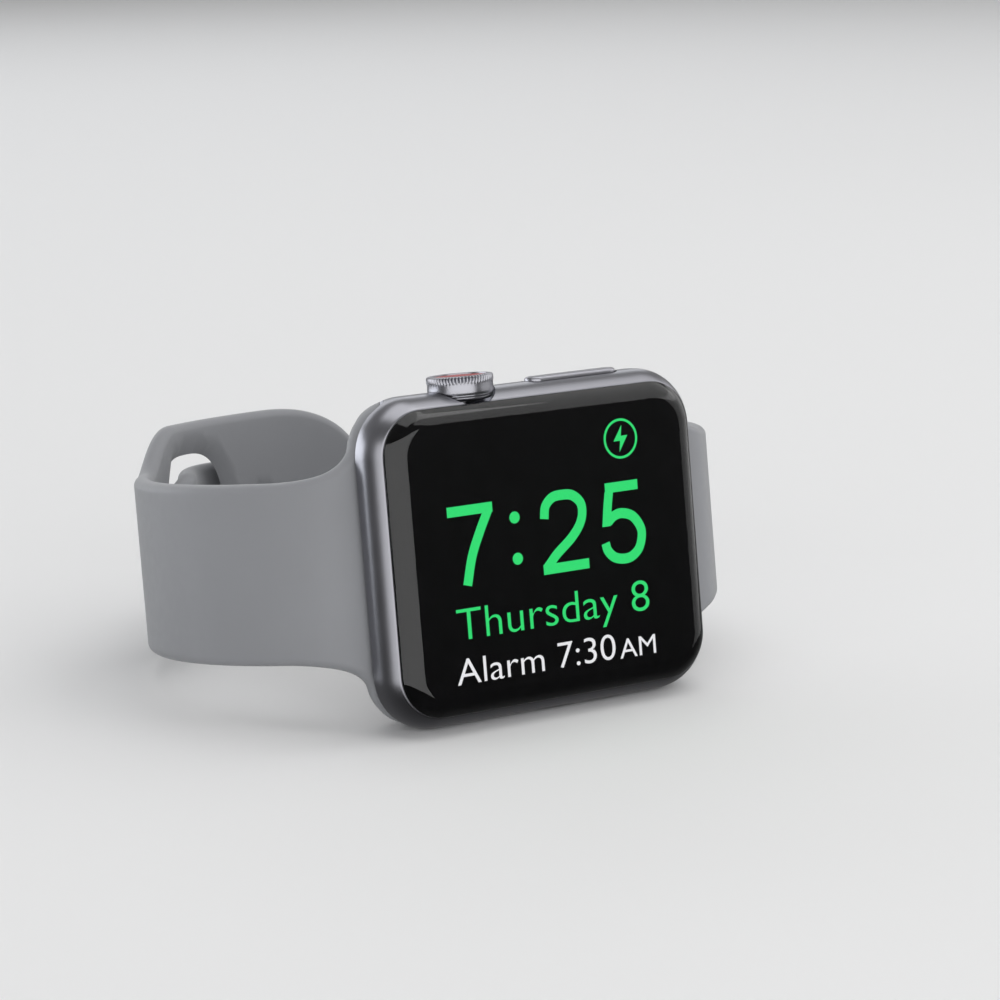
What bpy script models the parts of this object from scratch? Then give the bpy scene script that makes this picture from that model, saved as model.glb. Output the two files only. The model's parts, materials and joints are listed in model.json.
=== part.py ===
"""Rectangular smartwatch with a two-piece elastomer strap, standing on its side.

The watch is designed in its own frame, in millimetres: X across the display
(12 o'clock is -X), Y into the depth from the front glass, Z up towards the
crown.  An empty leans this frame back until the case and the strap's lower
edge both touch the table, and puts the middle of that footprint at the origin.
"""
import math

import bmesh
import bpy
from mathutils import Matrix, Vector

for old_object in list(bpy.data.objects):
    bpy.data.objects.remove(old_object)

MM = 0.001
GAP = 0.3               # play between pieces that sit in each other
TURN_PHASE = 0.37       # share of a step that turned shapes start at, off the main planes

# Case, in millimetres
CASE_HALF_X = 21.25
CASE_HALF_Z = 18.2
CASE_CORNER = 6.4
SEAM_DEPTH = 1.6        # the glass ends and the metal starts here
SEAM_INSET = 1.35
WIDEST_DEPTH = 4.7      # the side is straight from here
WIDEST_END = 5.4        # to here
BACK_DEPTH = 9.3
BACK_INSET = 3.2
SIDE_POWER = 2.2        # how the rounded side closes in
GLASS_FLAT_INSET = 3.7
GLASS_UNDERSIDE = 1.5
RECESS_HALF = (18.25, 15.2)
RECESS_FLOOR = 3.1
CAVITY_HALF = (15.3, 14.9)
CAVITY_FLOOR = 8.1

# Rear cover and sensor window
REAR_HOLE_RADIUS = 14.3
REAR_COVER_RADIUS = 14.0
WINDOW_RADIUS = 9.35
CRYSTAL_RADIUS = 9.1
CRYSTAL_DEPTH = 10.9
LENS_RADIUS = 2.25
LENS_CIRCLE = 4.7

# Strap channels
CHANNEL_X = 18.3
CHANNEL_DEPTH = 6.85
CHANNEL_RADIUS = 1.95
MOUTH_HALF = 1.75
BULB_RADIUS = 1.7
NECK_THICK = 2.5
RELEASE_X = 15.85
RELEASE_HALF = (1.0, 3.3)

# Crown and side button, both on the upper side
CROWN_X = -7.35
CROWN_DEPTH = 5.05
CROWN_RADIUS = 3.7
CROWN_BARREL = 3.52
CROWN_TEETH = 28
CROWN_BASE_Z = 17.0
CROWN_TOP_Z = 19.8
CROWN_RECESS_Z = 16.5
BUTTON_X = 7.0
BUTTON_HALF = (5.8, 1.25)
BUTTON_TOP_Z = 18.62

# Strap loop: an ellipse seen along Z, angle 0 at the watch and 180 opposite
LOOP_A = 33.1
LOOP_B = 28.7
LOOP_CENTRE_Y = 27.0
STRAP_THICK = 2.2
STRAP_HALF = 10.0
PADDLE_HALF = 12.7
PADDLE_RISE = 1.9
TAIL_HALF = 7.1
OVERLAP = 2.6           # how far the long strap lies outside the short one
LUG_END_ANGLE = 50.0
OPENING_ANGLE = 214.0
OPENING_HALF = (6.6, 8.9)
PIN_ANGLE = 192.0
SHORT_TIP_ANGLE = 165.0
LONG_TIP_ANGLE = 250.0
HOLE_PITCH = 6.8
HOLE_RADIUS = 1.5

# Table contact: the case rests on its lower side, the strap on its lower edge
CONTACT_CASE = (6.3, CASE_HALF_Z)
CONTACT_STRAP = (56.0, PADDLE_HALF - PADDLE_RISE)
LEAN = math.atan2(CONTACT_CASE[1] - CONTACT_STRAP[1], CONTACT_STRAP[0] - CONTACT_CASE[0])

frame = bpy.data.objects.new("watch_frame", None)
bpy.context.collection.objects.link(frame)
frame.rotation_euler = (-LEAN, 0.0, 0.0)


# ---------------------------------------------------------------- materials

def material(name, colour, roughness, metallic=0.0):
    """One Principled material, made once and shared by name."""
    found = bpy.data.materials.get(name)
    if found:
        return found
    made = bpy.data.materials.new(name)
    made.use_nodes = True
    shader = made.node_tree.nodes["Principled BSDF"]
    shader.inputs["Base Color"].default_value = (*colour, 1.0)
    shader.inputs["Roughness"].default_value = roughness
    shader.inputs["Metallic"].default_value = metallic
    made.diffuse_color = (*colour, 1.0)
    return made


def aluminium():
    return material("dark_anodised_aluminium", (0.16, 0.16, 0.18), 0.32, 1.0)


def steel():
    return material("steel", (0.55, 0.55, 0.57), 0.3, 1.0)


def elastomer():
    return material("grey_elastomer", (0.26, 0.265, 0.28), 0.6)


def black_polymer():
    return material("black_polymer", (0.02, 0.02, 0.022), 0.5)


def circuit():
    return material("circuit_board", (0.02, 0.08, 0.05), 0.5)


# ---------------------------------------------------------- building blocks

def finish(name, bm, look, origin=(0.0, 0.0, 0.0)):
    """Turn a bmesh in millimetres into an object of the watch frame."""
    bmesh.ops.translate(bm, verts=bm.verts, vec=-Vector(origin))
    bmesh.ops.scale(bm, verts=bm.verts, vec=(MM, MM, MM))
    bmesh.ops.recalc_face_normals(bm, faces=bm.faces)
    mesh = bpy.data.meshes.new(name)
    bm.to_mesh(mesh)
    bm.free()
    mesh.shade_smooth()
    mesh.set_sharp_from_angle(angle=math.radians(35))
    obj = bpy.data.objects.new(name, mesh)
    bpy.context.collection.objects.link(obj)
    obj.parent = frame
    obj.location = Vector(origin) * MM
    if look:
        mesh.materials.append(look)
    return obj


def loft(name, rings, look=None, origin=(0.0, 0.0, 0.0), closed=False):
    """Skin a list of rings with equal numbers of points.

    Open lofts get a cap on each end; closed ones join the last ring to the first.
    """
    bm = bmesh.new()
    loops = [[bm.verts.new(point) for point in ring] for ring in rings]
    pairs = list(zip(loops, loops[1:]))
    if closed:
        pairs.append((loops[-1], loops[0]))
    for lower, upper in pairs:
        count = len(lower)
        for i in range(count):
            j = (i + 1) % count
            bm.faces.new((lower[i], lower[j], upper[j], upper[i]))
    if not closed:
        bm.faces.new(loops[0])
        bm.faces.new(loops[-1])
    return finish(name, bm, look, origin)


def rounded_rect(half_x, half_z, radius, steps=6):
    """Outline of a rounded rectangle as (x, z) points."""
    points = []
    for quarter, (sx, sz) in enumerate(((1, 1), (-1, 1), (-1, -1), (1, -1))):
        centre = (sx * (half_x - radius), sz * (half_z - radius))
        for step in range(steps + 1):
            angle = math.radians(90 * quarter + 90 * step / steps)
            points.append((centre[0] + radius * math.cos(angle), centre[1] + radius * math.sin(angle)))
    return points


def plate(name, centre, half, radius, depths, look=None, chamfer=0.0, steps=4):
    """Rounded plate facing Y, between two depths, centred on (x, z)."""
    levels = [(0.0, depths[0]), (0.0, depths[1])]
    if chamfer:
        levels = [(chamfer, depths[0]), (0.0, depths[0] + chamfer),
                  (0.0, depths[1] - chamfer), (chamfer, depths[1])]
    rings = []
    for inset, depth in levels:
        outline = rounded_rect(half[0] - inset, half[1] - inset, max(radius - inset, 0.05), steps)
        rings.append([(centre[0] + x, depth, centre[1] + z) for x, z in outline])
    return loft(name, rings, look)


def frame_plate(name, outer, outer_radius, inner, inner_radius, depths, look):
    """Flat rectangular ring facing Y."""
    rings = []
    for half, radius, depth in ((outer, outer_radius, depths[0]), (outer, outer_radius, depths[1]),
                                (inner, inner_radius, depths[1]), (inner, inner_radius, depths[0])):
        rings.append([(x, depth, z) for x, z in rounded_rect(half[0], half[1], radius)])
    return loft(name, rings, look, closed=True)


def upright(name, centre, half, radius, heights, look=None, origin=(0.0, 0.0, 0.0)):
    """Rounded prism along Z, centred on (x, y)."""
    outline = rounded_rect(half[0], half[1], radius, 5)
    rings = [[(centre[0] + x, centre[1] + y, z) for x, y in outline] for z in heights]
    return loft(name, rings, look, origin)


def turned(name, profile, centre, axis, look=None, steps=32, ring=False, origin=None):
    """Turn a (radius, height) profile about an axis through centre.

    A solid profile starts and ends on the axis; a ring profile is a closed outline.
    """
    direction = Vector(axis).normalized()
    turn = direction.to_track_quat("Z", "Y").to_matrix()
    bm = bmesh.new()
    columns = []
    for radius, height in profile:
        if radius == 0.0:
            columns.append([bm.verts.new(Vector(centre) + turn @ Vector((0, 0, height)))])
            continue
        column = []
        for step in range(steps):
            angle = math.tau * (step + TURN_PHASE) / steps
            spot = Vector((radius * math.cos(angle), radius * math.sin(angle), height))
            column.append(bm.verts.new(Vector(centre) + turn @ spot))
        columns.append(column)
    pairs = list(zip(columns, columns[1:]))
    if ring:
        pairs.append((columns[-1], columns[0]))
    for lower, upper in pairs:
        for i in range(steps):
            j = (i + 1) % steps
            if len(lower) == 1:
                bm.faces.new((lower[0], upper[j], upper[i]))
            elif len(upper) == 1:
                bm.faces.new((lower[i], lower[j], upper[0]))
            else:
                bm.faces.new((lower[i], lower[j], upper[j], upper[i]))
    return finish(name, bm, look, origin if origin else (0.0, 0.0, 0.0))


def cylinder(name, radius, heights, centre, axis, look=None, steps=24, origin=None):
    low, high = heights
    profile = [(0.0, low), (radius, low), (radius, high), (0.0, high)]
    return turned(name, profile, centre, axis, look, steps, origin=origin)


def tube(name, inner, outer, heights, centre, axis, look=None, steps=32, origin=None):
    low, high = heights
    profile = [(inner, low), (outer, low), (outer, high), (inner, high)]
    return turned(name, profile, centre, axis, look, steps, ring=True, origin=origin)


def cut(target, *cutters):
    """Subtract guide shapes from a target and keep them out of the model."""
    for cutter in cutters:
        cutter.hide_render = True
        cutter.display_type = "WIRE"
        modifier = target.modifiers.new("cut_" + cutter.name, "BOOLEAN")
        modifier.operation = "DIFFERENCE"
        modifier.solver = "EXACT"
        modifier.object = cutter


def smooth(low, high, value):
    """0 below low, 1 above high and a smooth step between."""
    share = min(max((value - low) / (high - low), 0.0), 1.0)
    return share * share * (3.0 - 2.0 * share)


# --------------------------------------------------------------------- case

def case_inset(depth):
    """How far the metal side lies inside the widest outline at a depth."""
    if depth < WIDEST_DEPTH:
        share = (WIDEST_DEPTH - depth) / (WIDEST_DEPTH - SEAM_DEPTH)
        return SEAM_INSET * share ** SIDE_POWER
    if depth > WIDEST_END:
        share = (depth - WIDEST_END) / (BACK_DEPTH - WIDEST_END)
        return BACK_INSET * (1.0 - math.sqrt(max(1.0 - share ** SIDE_POWER, 0.0)))
    return 0.0


def case_outline(inset, depth, steps=6):
    radius = max(CASE_CORNER - inset, 2.2)
    outline = rounded_rect(CASE_HALF_X - inset, CASE_HALF_Z - inset, radius, steps)
    return [(x, depth, z) for x, z in outline]


def case_half_height(x):
    """Half height of the widest outline at a distance x from the middle."""
    along = max(abs(x) - (CASE_HALF_X - CASE_CORNER), 0.0)
    along = min(along, CASE_CORNER)
    return CASE_HALF_Z - CASE_CORNER + math.sqrt(CASE_CORNER ** 2 - along ** 2)


def channel_outline(side, z):
    """Keyhole of a strap channel: a round slot that opens through a narrower mouth."""
    half_angle = math.asin(MOUTH_HALF / CHANNEL_RADIUS)
    points = [(side * (CHANNEL_X + 4.0), CHANNEL_DEPTH - MOUTH_HALF, z)]
    points.append((side * (CHANNEL_X + 4.0), CHANNEL_DEPTH + MOUTH_HALF, z))
    for step in range(15):
        angle = half_angle + (math.tau - 2.0 * half_angle) * step / 14
        points.append((side * (CHANNEL_X + CHANNEL_RADIUS * math.cos(angle)),
                       CHANNEL_DEPTH + CHANNEL_RADIUS * math.sin(angle), z))
    return points


def case_shell():
    depths = [SEAM_DEPTH, 2.25, 3.2, WIDEST_DEPTH, WIDEST_END, 6.7, 7.7, 8.5, 9.0, 9.23, BACK_DEPTH]
    shell = loft("case_shell", [case_outline(case_inset(d), d, 5) for d in depths], aluminium())
    cutters = [
        plate("cut_display_recess", (0, 0), RECESS_HALF, 4.0, (0.5, RECESS_FLOOR), steps=6),
        plate("cut_cavity", (0, 0), CAVITY_HALF, 2.5, (RECESS_FLOOR - 0.5, CAVITY_FLOOR)),
        cylinder("cut_rear_hole", REAR_HOLE_RADIUS, (CAVITY_FLOOR - 1.0, BACK_DEPTH + 1.0),
                 (0, 0, 0), (0, 1, 0), steps=48),
        cylinder("cut_crown_recess", CROWN_RADIUS + GAP, (CROWN_RECESS_Z, CROWN_TOP_Z + 1.0),
                 (CROWN_X, CROWN_DEPTH, 0), (0, 0, 1), steps=32),
        cylinder("cut_crown_bore", 2.0, (CAVITY_HALF[1] - 1.0, CROWN_RECESS_Z + 1.0),
                 (CROWN_X, CROWN_DEPTH, 0), (0, 0, 1)),
        upright("cut_button_recess", (BUTTON_X, CROWN_DEPTH),
                (BUTTON_HALF[0] + 0.25, BUTTON_HALF[1] + 0.25), BUTTON_HALF[1] + 0.2, (17.2, 20.0)),
        cylinder("cut_button_bore", 0.95, (CAVITY_HALF[1] - 1.0, 18.0),
                 (BUTTON_X, CROWN_DEPTH, 0), (0, 0, 1), steps=20),
        cylinder("cut_microphone", 0.5, (-20.0, -14.0), (12.6, CROWN_DEPTH, 0), (0, 0, 1), steps=12),
    ]
    for index, x in enumerate((1.4, 7.8)):
        cutters.append(upright("cut_speaker_slot_%d" % (index + 1), (x, CROWN_DEPTH),
                               (2.7, 0.6), 0.55, (-20.0, -14.0)))
    for side, label in ((-1, "short"), (1, "long")):
        cutters.append(loft("cut_channel_" + label, [channel_outline(side, z) for z in (-20.0, 20.0)]))
        cutters.append(plate("cut_release_" + label, (side * RELEASE_X, 0), RELEASE_HALF, 0.9,
                             (8.55, BACK_DEPTH + 1.0), steps=5))
    cut(shell, *cutters)


# ------------------------------------------------------------ display stack

def cover_glass():
    rings = []
    for share in (0.0, 0.25, 0.5, 0.7, 0.85, 1.0):
        inset = GLASS_FLAT_INSET + (SEAM_INSET + 0.05 - GLASS_FLAT_INSET) * share
        depth = (GLASS_UNDERSIDE - 0.15) * share ** SIDE_POWER
        rings.append(case_outline(inset, depth))
    rings.append(case_outline(SEAM_INSET + 0.05, GLASS_UNDERSIDE))
    loft("cover_glass", rings, material("cover_glass", (0.01, 0.01, 0.012), 0.06))


def display_stack():
    frame_plate("display_gasket", (17.95, 14.9), 3.7, (17.2, 14.15), 3.0, (1.68, 1.98), black_polymer())
    plate("display_panel", (0, 0), (16.9, 13.8), 2.0, (1.8, 2.4),
          material("display_panel", (0.01, 0.012, 0.015), 0.2))
    frame_plate("force_sensor_gasket", (16.8, 13.7), 1.9, (15.8, 12.7), 1.2, (2.55, 2.8), black_polymer())
    plate("display_shield", (0, 0), (15.4, 12.3), 1.5, (2.6, 2.85), steel())
    plate("display_flex", (-4.0, 10.4), (2.2, 1.6), 0.3, (3.15, 3.3),
          material("amber_flex", (0.4, 0.16, 0.03), 0.4))


# ---------------------------------------------------------------- internals

def power_and_logic():
    silver = material("battery_foil", (0.4, 0.4, 0.42), 0.35, 0.6)
    plate("battery_cell", (-7.4, 1.0), (7.4, 7.0), 1.0, (3.6, 6.7), silver, chamfer=0.3)
    plate("battery_flex", (1.0, 1.0), (0.7, 1.8), 0.2, (4.6, 4.8),
          material("amber_flex", (0.4, 0.16, 0.03), 0.4))
    plate("system_module", (8.4, 0.8), (6.3, 7.2), 0.6, (3.6, 5.3), circuit(), chamfer=0.15)
    plate("haptic_motor", (-8.0, -10.6), (6.6, 3.5), 0.8, (3.6, 6.6), steel(), chamfer=0.25)
    plate("speaker_module", (4.6, -10.6), (5.2, 3.6), 0.7, (3.6, 6.7), black_polymer(), chamfer=0.25)
    plate("microphone", (12.6, -12.0), (1.6, 1.6), 0.2, (4.2, 6.0), steel())
    bracket = plate("antenna_bracket", (8.4, 0.8), (6.2, 7.0), 1.0, (5.8, 6.1), steel())
    for index, (x, z) in enumerate(((3.6, 6.2), (13.2, 6.2), (8.4, -4.8))):
        hole = cylinder("cut_bracket_hole_%d" % (index + 1), 0.6, (5.0, 7.0), (x, 0, z), (0, 1, 0), steps=12)
        cut(bracket, hole)
        profile = [(0, 5.45), (0.35, 5.45), (0.35, 6.25), (0.9, 6.25), (0.9, 6.7), (0.6, 6.8), (0, 6.8)]
        turned("bracket_screw_%d" % (index + 1), profile, (x, 0, z), (0, 1, 0), steel(), 16)


def speaker_meshes():
    mesh_look = material("steel_mesh", (0.1, 0.1, 0.11), 0.45, 0.8)
    for index, x in enumerate((1.4, 7.8)):
        upright("speaker_mesh_%d" % (index + 1), (x, CROWN_DEPTH), (2.45, 0.35), 0.3, (-16.9, -16.6), mesh_look)


def rear_parts():
    ceramic = material("rear_cover_black", (0.015, 0.015, 0.018), 0.18)
    profile = [(WINDOW_RADIUS, 8.3), (REAR_COVER_RADIUS, 8.3), (REAR_COVER_RADIUS, 9.2)]
    dome_rise = 1.35
    for step in range(1, 7):
        share = step / 6
        radius = REAR_COVER_RADIUS + (WINDOW_RADIUS - REAR_COVER_RADIUS) * share
        profile.append((radius, 9.2 + dome_rise * math.sin(0.5 * math.pi * share)))
    turned("rear_cover", profile, (0, 0, 0), (0, 1, 0), ceramic, 40, ring=True)
    crystal_profile = [(0, 9.75), (CRYSTAL_RADIUS, 9.75), (CRYSTAL_RADIUS, 10.55),
                       (CRYSTAL_RADIUS - 0.25, 10.8), (CRYSTAL_RADIUS - 0.8, CRYSTAL_DEPTH), (0, CRYSTAL_DEPTH)]
    crystal = turned("sensor_crystal", crystal_profile, (0, 0, 0), (0, 1, 0),
                     material("sensor_crystal", (0.05, 0.05, 0.055), 0.08), 36)
    for index in range(4):
        angle = math.radians(45 + 90 * index)
        spot = (LENS_CIRCLE * math.cos(angle), 0, LENS_CIRCLE * math.sin(angle))
        hole = cylinder("cut_lens_hole_%d" % (index + 1), LENS_RADIUS + 0.15, (9.0, 12.0), spot, (0, 1, 0), steps=18)
        cut(crystal, hole)
        lens = [(0, 9.85), (LENS_RADIUS, 9.85), (LENS_RADIUS, 10.85), (1.6, 11.0), (0.8, 11.08), (0, 11.1)]
        turned("sensor_lens_%d" % (index + 1), lens, spot, (0, 1, 0),
               material("sensor_lens", (0.02, 0.03, 0.02), 0.05), 16)
    cylinder("sensor_board", 8.8, (9.05, 9.4), (0, 0, 0), (0, 1, 0), circuit(), 32)
    copper = material("copper_winding", (0.6, 0.28, 0.12), 0.35, 0.9)
    tube("charging_coil", 9.7, 13.3, (7.45, 8.0), (0, 0, 0), (0, 1, 0), copper, 32)
    tube("coil_shield", 4.8, 13.3, (7.05, 7.2), (0, 0, 0), (0, 1, 0), black_polymer(), 32)
    cylinder("alignment_magnet", 4.2, (7.1, 8.7), (0, 0, 0), (0, 1, 0), steel(), 24)


# -------------------------------------------------------------------- crown

def crown_ring(radius, height, tooth=0.0):
    """Ring of the crown; tooth is how far every other point lies inside."""
    points = []
    count = CROWN_TEETH * 2
    for i in range(count):
        angle = math.tau * i / count
        r = radius - (tooth if i % 2 else 0.0)
        points.append((CROWN_X + r * math.cos(angle), CROWN_DEPTH + r * math.sin(angle), height))
    return points


def crown():
    axis_point = (CROWN_X, CROWN_DEPTH, CROWN_TOP_Z)
    rings = [
        crown_ring(CROWN_BARREL - 0.25, CROWN_BASE_Z),
        crown_ring(CROWN_BARREL, CROWN_BASE_Z + 0.2),
        crown_ring(CROWN_BARREL, CROWN_BASE_Z + 0.4),
        crown_ring(CROWN_BARREL - 0.2, CROWN_BASE_Z + 0.5),
        crown_ring(CROWN_BARREL, CROWN_BASE_Z + 0.62),
        crown_ring(CROWN_BARREL, CROWN_TOP_Z - 1.15),
        crown_ring(CROWN_RADIUS, CROWN_TOP_Z - 1.0, 0.16),
        crown_ring(CROWN_RADIUS, CROWN_TOP_Z - 0.3, 0.16),
        crown_ring(CROWN_RADIUS - 0.25, CROWN_TOP_Z - 0.04, 0.1),
        crown_ring(CROWN_RADIUS - 0.5, CROWN_TOP_Z),
        crown_ring(2.75, CROWN_TOP_Z),
        crown_ring(2.75, CROWN_TOP_Z - 0.45),
    ]
    loft("crown_dial", rings, aluminium(), axis_point)
    disc = [(0, -0.3), (2.5, -0.3), (2.5, -0.08), (2.35, -0.02), (0, -0.02)]
    turned("crown_face_disc", disc, axis_point, (0, 0, 1), material("red_face", (0.45, 0.04, 0.05), 0.35),
           32, origin=axis_point)
    base = (CROWN_X, CROWN_DEPTH, 0)
    cylinder("crown_shaft", 0.7, (12.15, CROWN_BASE_Z - 0.15), base, (0, 0, 1), steel(), 16, axis_point)
    bushing = [(1.3, 13.9), (2.5, 13.9), (2.5, 14.5), (1.8, 14.5), (1.8, 16.2), (1.3, 16.2)]
    turned("crown_bushing", bushing, base, (0, 0, 1), steel(), 24, ring=True)
    seal = [(0.8, 15.5), (1.0, 15.4), (1.18, 15.5), (1.18, 15.7), (1.0, 15.8), (0.8, 15.7)]
    turned("crown_seal", seal, base, (0, 0, 1), black_polymer(), 24, ring=True, origin=axis_point)
    encoder = upright("crown_encoder", (CROWN_X, CROWN_DEPTH), (2.6, 1.5), 0.3, (12.5, 13.5), circuit())
    cut(encoder, cylinder("cut_encoder_bore", 1.0, (12.0, 14.0), base, (0, 0, 1), steps=16))
    upright("crown_shear_plate", (CROWN_X, CROWN_DEPTH), (2.2, 1.2), 0.2, (11.6, 11.9), steel(), axis_point)
    upright("crown_switch", (CROWN_X, CROWN_DEPTH), (2.2, 1.3), 0.3, (9.6, 11.05), black_polymer())


def side_button():
    origin = (BUTTON_X, CROWN_DEPTH, BUTTON_TOP_Z)
    rings = []
    for inset, z in ((0.15, 17.75), (0.0, 17.85), (0.0, BUTTON_TOP_Z - 0.18),
                     (0.07, BUTTON_TOP_Z - 0.05), (0.2, BUTTON_TOP_Z)):
        half_y = BUTTON_HALF[1] - inset
        outline = rounded_rect(BUTTON_HALF[0] - inset, half_y, half_y - 0.02, 6)
        rings.append([(BUTTON_X + x, CROWN_DEPTH + y, z) for x, y in outline])
    loft("side_button_cap", rings, aluminium(), origin)
    base = (BUTTON_X, CROWN_DEPTH, 0)
    cylinder("side_button_stem", 0.65, (14.05, 17.6), base, (0, 0, 1), steel(), 16, origin)
    upright("side_button_switch", (BUTTON_X, CROWN_DEPTH), (2.0, 1.2), 0.2, (12.4, 13.6), black_polymer())
    bracket = upright("side_button_bracket", (BUTTON_X, CROWN_DEPTH), (3.6, 1.4), 0.2, (14.25, 14.55), steel())
    cut(bracket, cylinder("cut_bracket_bore", 0.95, (14.0, 15.0), base, (0, 0, 1), steps=16))


def release_buttons():
    for side, label in ((-1, "short"), (1, "long")):
        plate("release_button_" + label, (side * RELEASE_X, 0), (RELEASE_HALF[0] - 0.25, RELEASE_HALF[1] - 0.25), 0.7,
              (8.95, BACK_DEPTH + 0.05), aluminium(), chamfer=0.1, steps=5)


# -------------------------------------------------------------------- strap

def loop_point(angle, offset=0.0):
    """Point on the loop's middle surface, moved outwards by offset."""
    turn = math.radians(angle)
    normal = loop_normal(angle)
    x = LOOP_A * math.sin(turn) + offset * normal.x
    y = LOOP_CENTRE_Y - LOOP_B * math.cos(turn) + offset * normal.y
    return Vector((x, y, 0.0))


def loop_normal(angle):
    turn = math.radians(angle)
    return Vector((LOOP_B * math.sin(turn), -LOOP_A * math.cos(turn), 0.0)).normalized()


def loop_rise(angle):
    """Height of the strap's middle line: it lifts where the wide end is."""
    return PADDLE_RISE * smooth(120.0, 172.0, angle) * (1.0 - smooth(220.0, 240.0, angle))


def long_offset(angle):
    """The long strap climbs over the short one and dives in through its opening."""
    climb = smooth(132.0, 163.5, angle)
    dive = smooth(202.0, 226.0, angle)
    return OVERLAP * (climb - 2.0 * dive)


def short_half(angle):
    half = STRAP_HALF + (PADDLE_HALF - STRAP_HALF) * (1.0 - smooth(220.0, 240.0, angle))
    along = max(1.0 - (angle - SHORT_TIP_ANGLE) / 26.0, 0.0)
    return half * math.sqrt(max(1.0 - along ** 2.6, 0.0)) ** 0.8


def long_half(angle):
    half = STRAP_HALF - (STRAP_HALF - TAIL_HALF) * smooth(110.0, 182.0, angle)
    along = max(1.0 - (LONG_TIP_ANGLE - angle) / 12.0, 0.0)
    return half * math.sqrt(max(1.0 - along ** 2.4, 0.0))


def lug_path(share):
    """Curve from the channel's centre line to the loop, for the -X strap."""
    start = Vector((-CHANNEL_X, CHANNEL_DEPTH, 0.0))
    end = loop_point(-LUG_END_ANGLE)
    turn = math.radians(LUG_END_ANGLE)
    arrive = Vector((-LOOP_A * math.cos(turn), LOOP_B * math.sin(turn), 0.0)).normalized()
    handle_a = start + Vector((-2.8, -0.15, 0.0))
    handle_b = end - arrive * 2.6
    rest = 1.0 - share
    point = (rest ** 3 * start + 3 * rest ** 2 * share * handle_a
             + 3 * rest * share ** 2 * handle_b + share ** 3 * end)
    tangent = (3 * rest ** 2 * (handle_a - start) + 6 * rest * share * (handle_b - handle_a)
               + 3 * share ** 2 * (end - handle_b))
    tangent.normalize()
    return point, Vector((-tangent.y, tangent.x, 0.0))


def strap_section(point, normal, rise, thick, half):
    """Rounded cross-section of a strap: thick along the normal, half along Z."""
    radius = min(0.42 * thick, 0.95, half * 0.9)
    ring = []
    for u, v in rounded_rect(0.5 * thick, half, radius, 2):
        ring.append((point.x + normal.x * u, point.y + normal.y * u, rise + v))
    return ring


def flare_half(x):
    """Half width close to the case: follows its corner, then sweeps in."""
    if abs(x) < CASE_HALF_X - 0.35:
        return case_half_height(x) - 0.15
    edge = case_half_height(CASE_HALF_X - 0.35) - 0.15
    away = min((abs(x) - CASE_HALF_X + 0.35) / 7.5, 1.0)
    return STRAP_HALF + (edge - STRAP_HALF) * (1.0 - math.sqrt(1.0 - (1.0 - away) ** 2))


def with_flare(half, angle):
    """Half width of the loop, still flared where it leaves the neck."""
    if angle > LUG_END_ANGLE + 15.0:
        return half
    return max(half, flare_half(loop_point(angle).x))


def lug_sections():
    """Sections of the -X strap from inside the channel to the start of the loop."""
    rings = []
    for away in (-0.98, -0.8, -0.45, 0.0, 0.45):
        x = -CHANNEL_X - away * BULB_RADIUS
        thick = 2.0 * BULB_RADIUS * math.sqrt(1.0 - away ** 2)
        rings.append(strap_section(Vector((x, CHANNEL_DEPTH, 0)), Vector((0, -1, 0)), 0.0,
                                   thick, case_half_height(x) - 0.2))
    for share in (0.22, 0.32, 0.42, 0.52, 0.64, 0.76, 0.88):
        point, normal = lug_path(share)
        thick = NECK_THICK + (STRAP_THICK + 0.25 - NECK_THICK) * smooth(0.35, 1.0, share)
        rings.append(strap_section(point, normal, 0.0, thick, flare_half(point.x)))
    return rings


def mirror_x(rings):
    return [[(-x, y, z) for x, y, z in ring] for ring in rings]


def thickness(angle):
    """Loop thickness, thinning away from the case."""
    return STRAP_THICK + 0.25 * (1.0 - smooth(LUG_END_ANGLE, 90.0, angle))


def lug_latch(strap, side, label):
    """Sprung latch in a window of the strap's bulb, half way along the channel."""
    window = plate("cut_latch_" + label, (side * 16.7, 0), (1.13, 2.8), 0.2,
                   (CHANNEL_DEPTH - 0.75, CHANNEL_DEPTH + 0.75))
    cut(strap, window)
    plate("lug_latch_" + label, (side * 16.95, 0), (0.4, 2.45), 0.15,
          (CHANNEL_DEPTH - 0.45, CHANNEL_DEPTH + 0.45), steel())


def loop_frame(angle, offset=0.0, lean=0.0):
    """Place and outward normal on the loop, the normal turned by lean."""
    normal = loop_normal(angle)
    point = loop_point(angle, offset)
    point.z = loop_rise(angle)
    turned_normal = Matrix.Rotation(lean, 3, "Z") @ normal
    return point, turned_normal


def opening_cutter():
    point, normal = loop_frame(OPENING_ANGLE)
    along = Vector((-normal.y, normal.x, 0.0))
    rings = []
    for level in (-5.0, 5.0):
        ring = []
        for step in range(36):
            angle = math.tau * step / 36
            c, s = math.cos(angle), math.sin(angle)
            u = OPENING_HALF[0] * math.copysign(abs(c) ** (2 / 3), c)
            v = OPENING_HALF[1] * math.copysign(abs(s) ** (2 / 3), s)
            ring.append(tuple(point + along * u + Vector((0, 0, v)) + normal * level))
        rings.append(ring)
    return loft("cut_strap_opening", rings)


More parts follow.
